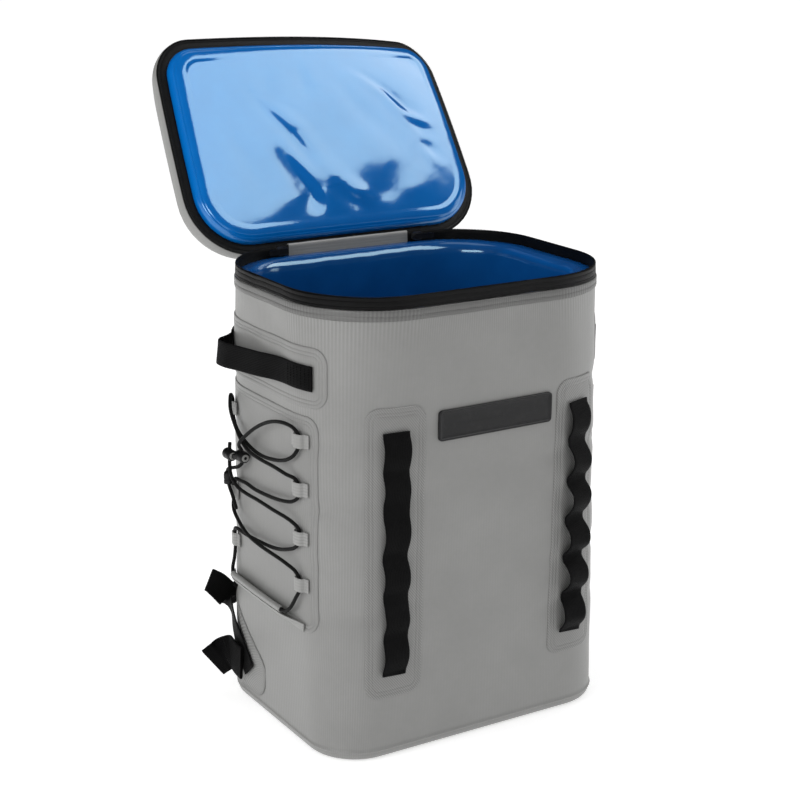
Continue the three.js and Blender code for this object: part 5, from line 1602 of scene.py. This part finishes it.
# %% [markdown]
# ## Small hard parts
# The solids of the ladder locks and zip sliders already have the right shape. A bevel modifier
# rounds their edges as a mould does, and the solid itself stays where it is. The label plate is
# built again, because its raised border and its rounded corners follow the wall.

# %% Hard solids
hard_solids = {"ladder_lock_left": lock_plastic, "ladder_lock_right": lock_plastic,
               "zip_slider_left": slider_metal, "zip_slider_right": slider_metal,
               "zip_pull_left": lock_plastic, "zip_pull_right": lock_plastic}
moulded_edge = 0.5
for name, finish in hard_solids.items():
    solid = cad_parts[name]
    solid.data.materials.clear()
    solid.data.materials.append(finish)
    bevel = solid.modifiers.new("moulded edge", "BEVEL")
    bevel.width = moulded_edge * mm
    bevel.segments = 2
    bevel.limit_method = "ANGLE"
    bevel.harden_normals = True
    print(name, "kept")

# %% Label plate
label_width, label_height, label_corner = 134, 31, 4
label_x, label_z = 8.5, 342
label_rows = [(15.2, -0.2), (8, -0.2), (0.2, -0.2), (0, 0.9), (0.15, 2.4), (0.5, 2.9), (1.0, 3.1),
              (1.8, 3.1), (2.3, 2.9), (2.6, 2.45), (2.9, 2.3), (6, 2.3), (11, 2.3), (15.2, 2.3)]
rows, around, along = [], [], []
for inset, lift in label_rows:
    s, z = patch_outline(label_x - label_width / 2, label_x + label_width / 2,
                         label_z - label_height / 2, label_z + label_height / 2,
                         label_corner, inset).T
    rows.append(on_wall("front", s, z, lift))
    around.append(np.append(s, s[0]))
    along.append(np.append(z, z[0]))
label = skin("bare_label", rows, np.array(around), np.array(along), sharp=50)
fit(label, plate_rubber, "plate", "label_plate")

# %% [markdown]
# ## Floor and light
# A pale floor and soft light from all round keep the bag free of hard shadows. What a glossy film
# shows is mostly its surroundings, so these are set apart from the light that falls on the cloth:
# they are nearly black, as in a studio with black cards round the bag, and keep the film deep
# blue at its edges. One wide lamp, up in front and to the right, is mirrored in the lid's face as
# a pale sheet, with a smaller one in front of it for its bright heart, and a narrow one on the
# left draws soft highlights down the body's rounded corner. These three are seen only in
# reflections. Three more shape the grey cloth from both sides and from above.


# %% Floor
floor_radius, floor_sides = 24, 96
turns = np.arange(floor_sides) / floor_sides * 2 * np.pi
disc = np.stack([np.cos(turns), np.sin(turns), 0 * turns], axis=1) * floor_radius / mm
floor = make_piece("floor", disc, [tuple(range(floor_sides))])
white = Finish("floor_white", {"Emission Strength": 0.62, "Roughness": 0.9})
specks = white.cloud(40, 2.0)
floor_greys = (0.8, 0.8, 0.8, 1), (0.84, 0.84, 0.84, 1)
floor_tone = white.tint(specks, *floor_greys)
white.join(floor_tone, white.shader.inputs["Emission Color"])
floor.data.materials.append(white.wear(floor_tone))

# %% Light
world = bpy.data.worlds.new("studio")
world.use_nodes = True
bpy.context.scene.world = world
nodes, links = world.node_tree.nodes, world.node_tree.links
surround = nodes["Background"]
rays = nodes.new("ShaderNodeLightPath")
light_falling, light_mirrored, light_seen = 0.68, 0.03, 1.1
strength = nodes.new("ShaderNodeMapRange")
links.new(rays.outputs["Is Glossy Ray"], strength.inputs["Value"])
strength.inputs["To Min"].default_value = light_falling
strength.inputs["To Max"].default_value = light_mirrored
backdrop = nodes.new("ShaderNodeMapRange")
links.new(rays.outputs["Is Camera Ray"], backdrop.inputs["Value"])
links.new(strength.outputs["Result"], backdrop.inputs["To Min"])
backdrop.inputs["To Max"].default_value = light_seen
links.new(backdrop.outputs["Result"], surround.inputs["Strength"])
surround.inputs["Color"].default_value = (1, 1, 1, 1)


def soft_lamp(name, toward, distance, width, height, brightness):
    """A lamp panel that faces the bag. brightness is the light that its face gives off."""
    toward = Vector(toward).normalized()
    lamp = bpy.data.lights.new(name, "AREA")
    lamp.shape = "RECTANGLE"
    lamp.size, lamp.size_y = width, height
    lamp.energy = brightness * math.pi * width * height
    panel = bpy.data.objects.new(name, lamp)
    panel.location = Vector((0, 0, 0.5)) + toward * distance
    panel.rotation_euler = toward.to_track_quat("Z", "Y").to_euler()
    bpy.context.collection.objects.link(panel)
    return panel


lid_side, corner_side = (0.524, -0.395, 0.755), (-0.86, -0.5, 0.2)
lamp_distance, top_lamp_distance = 2.4, 2.2
mirrored_lamps = [("mirrored_lamp", lid_side, 3.9, 1.2, 5.2),
                  ("mirrored_heart", lid_side, 1.5, 0.7, 2.2),
                  ("corner_lamp", corner_side, 1.5, 0.45, 7.0)]
for name, toward, width, height, brightness in mirrored_lamps:
    mirrored = soft_lamp(name, toward, lamp_distance, width, height, brightness)
    mirrored.visible_diffuse = False
left_lamp = soft_lamp("left_lamp", (-0.95, -0.1, 0.3), lamp_distance, 1.2, 1.6, 3.6)
left_lamp.visible_glossy = False
soft_lamp("right_lamp", (0.9, -0.35, 0.05), lamp_distance, 0.8, 1.4, 2.2)
soft_lamp("top_lamp", (0.1, 0.3, 1.0), top_lamp_distance, 1.2, 1.0, 0.8)
bpy.context.scene.view_settings.view_transform = "Standard"
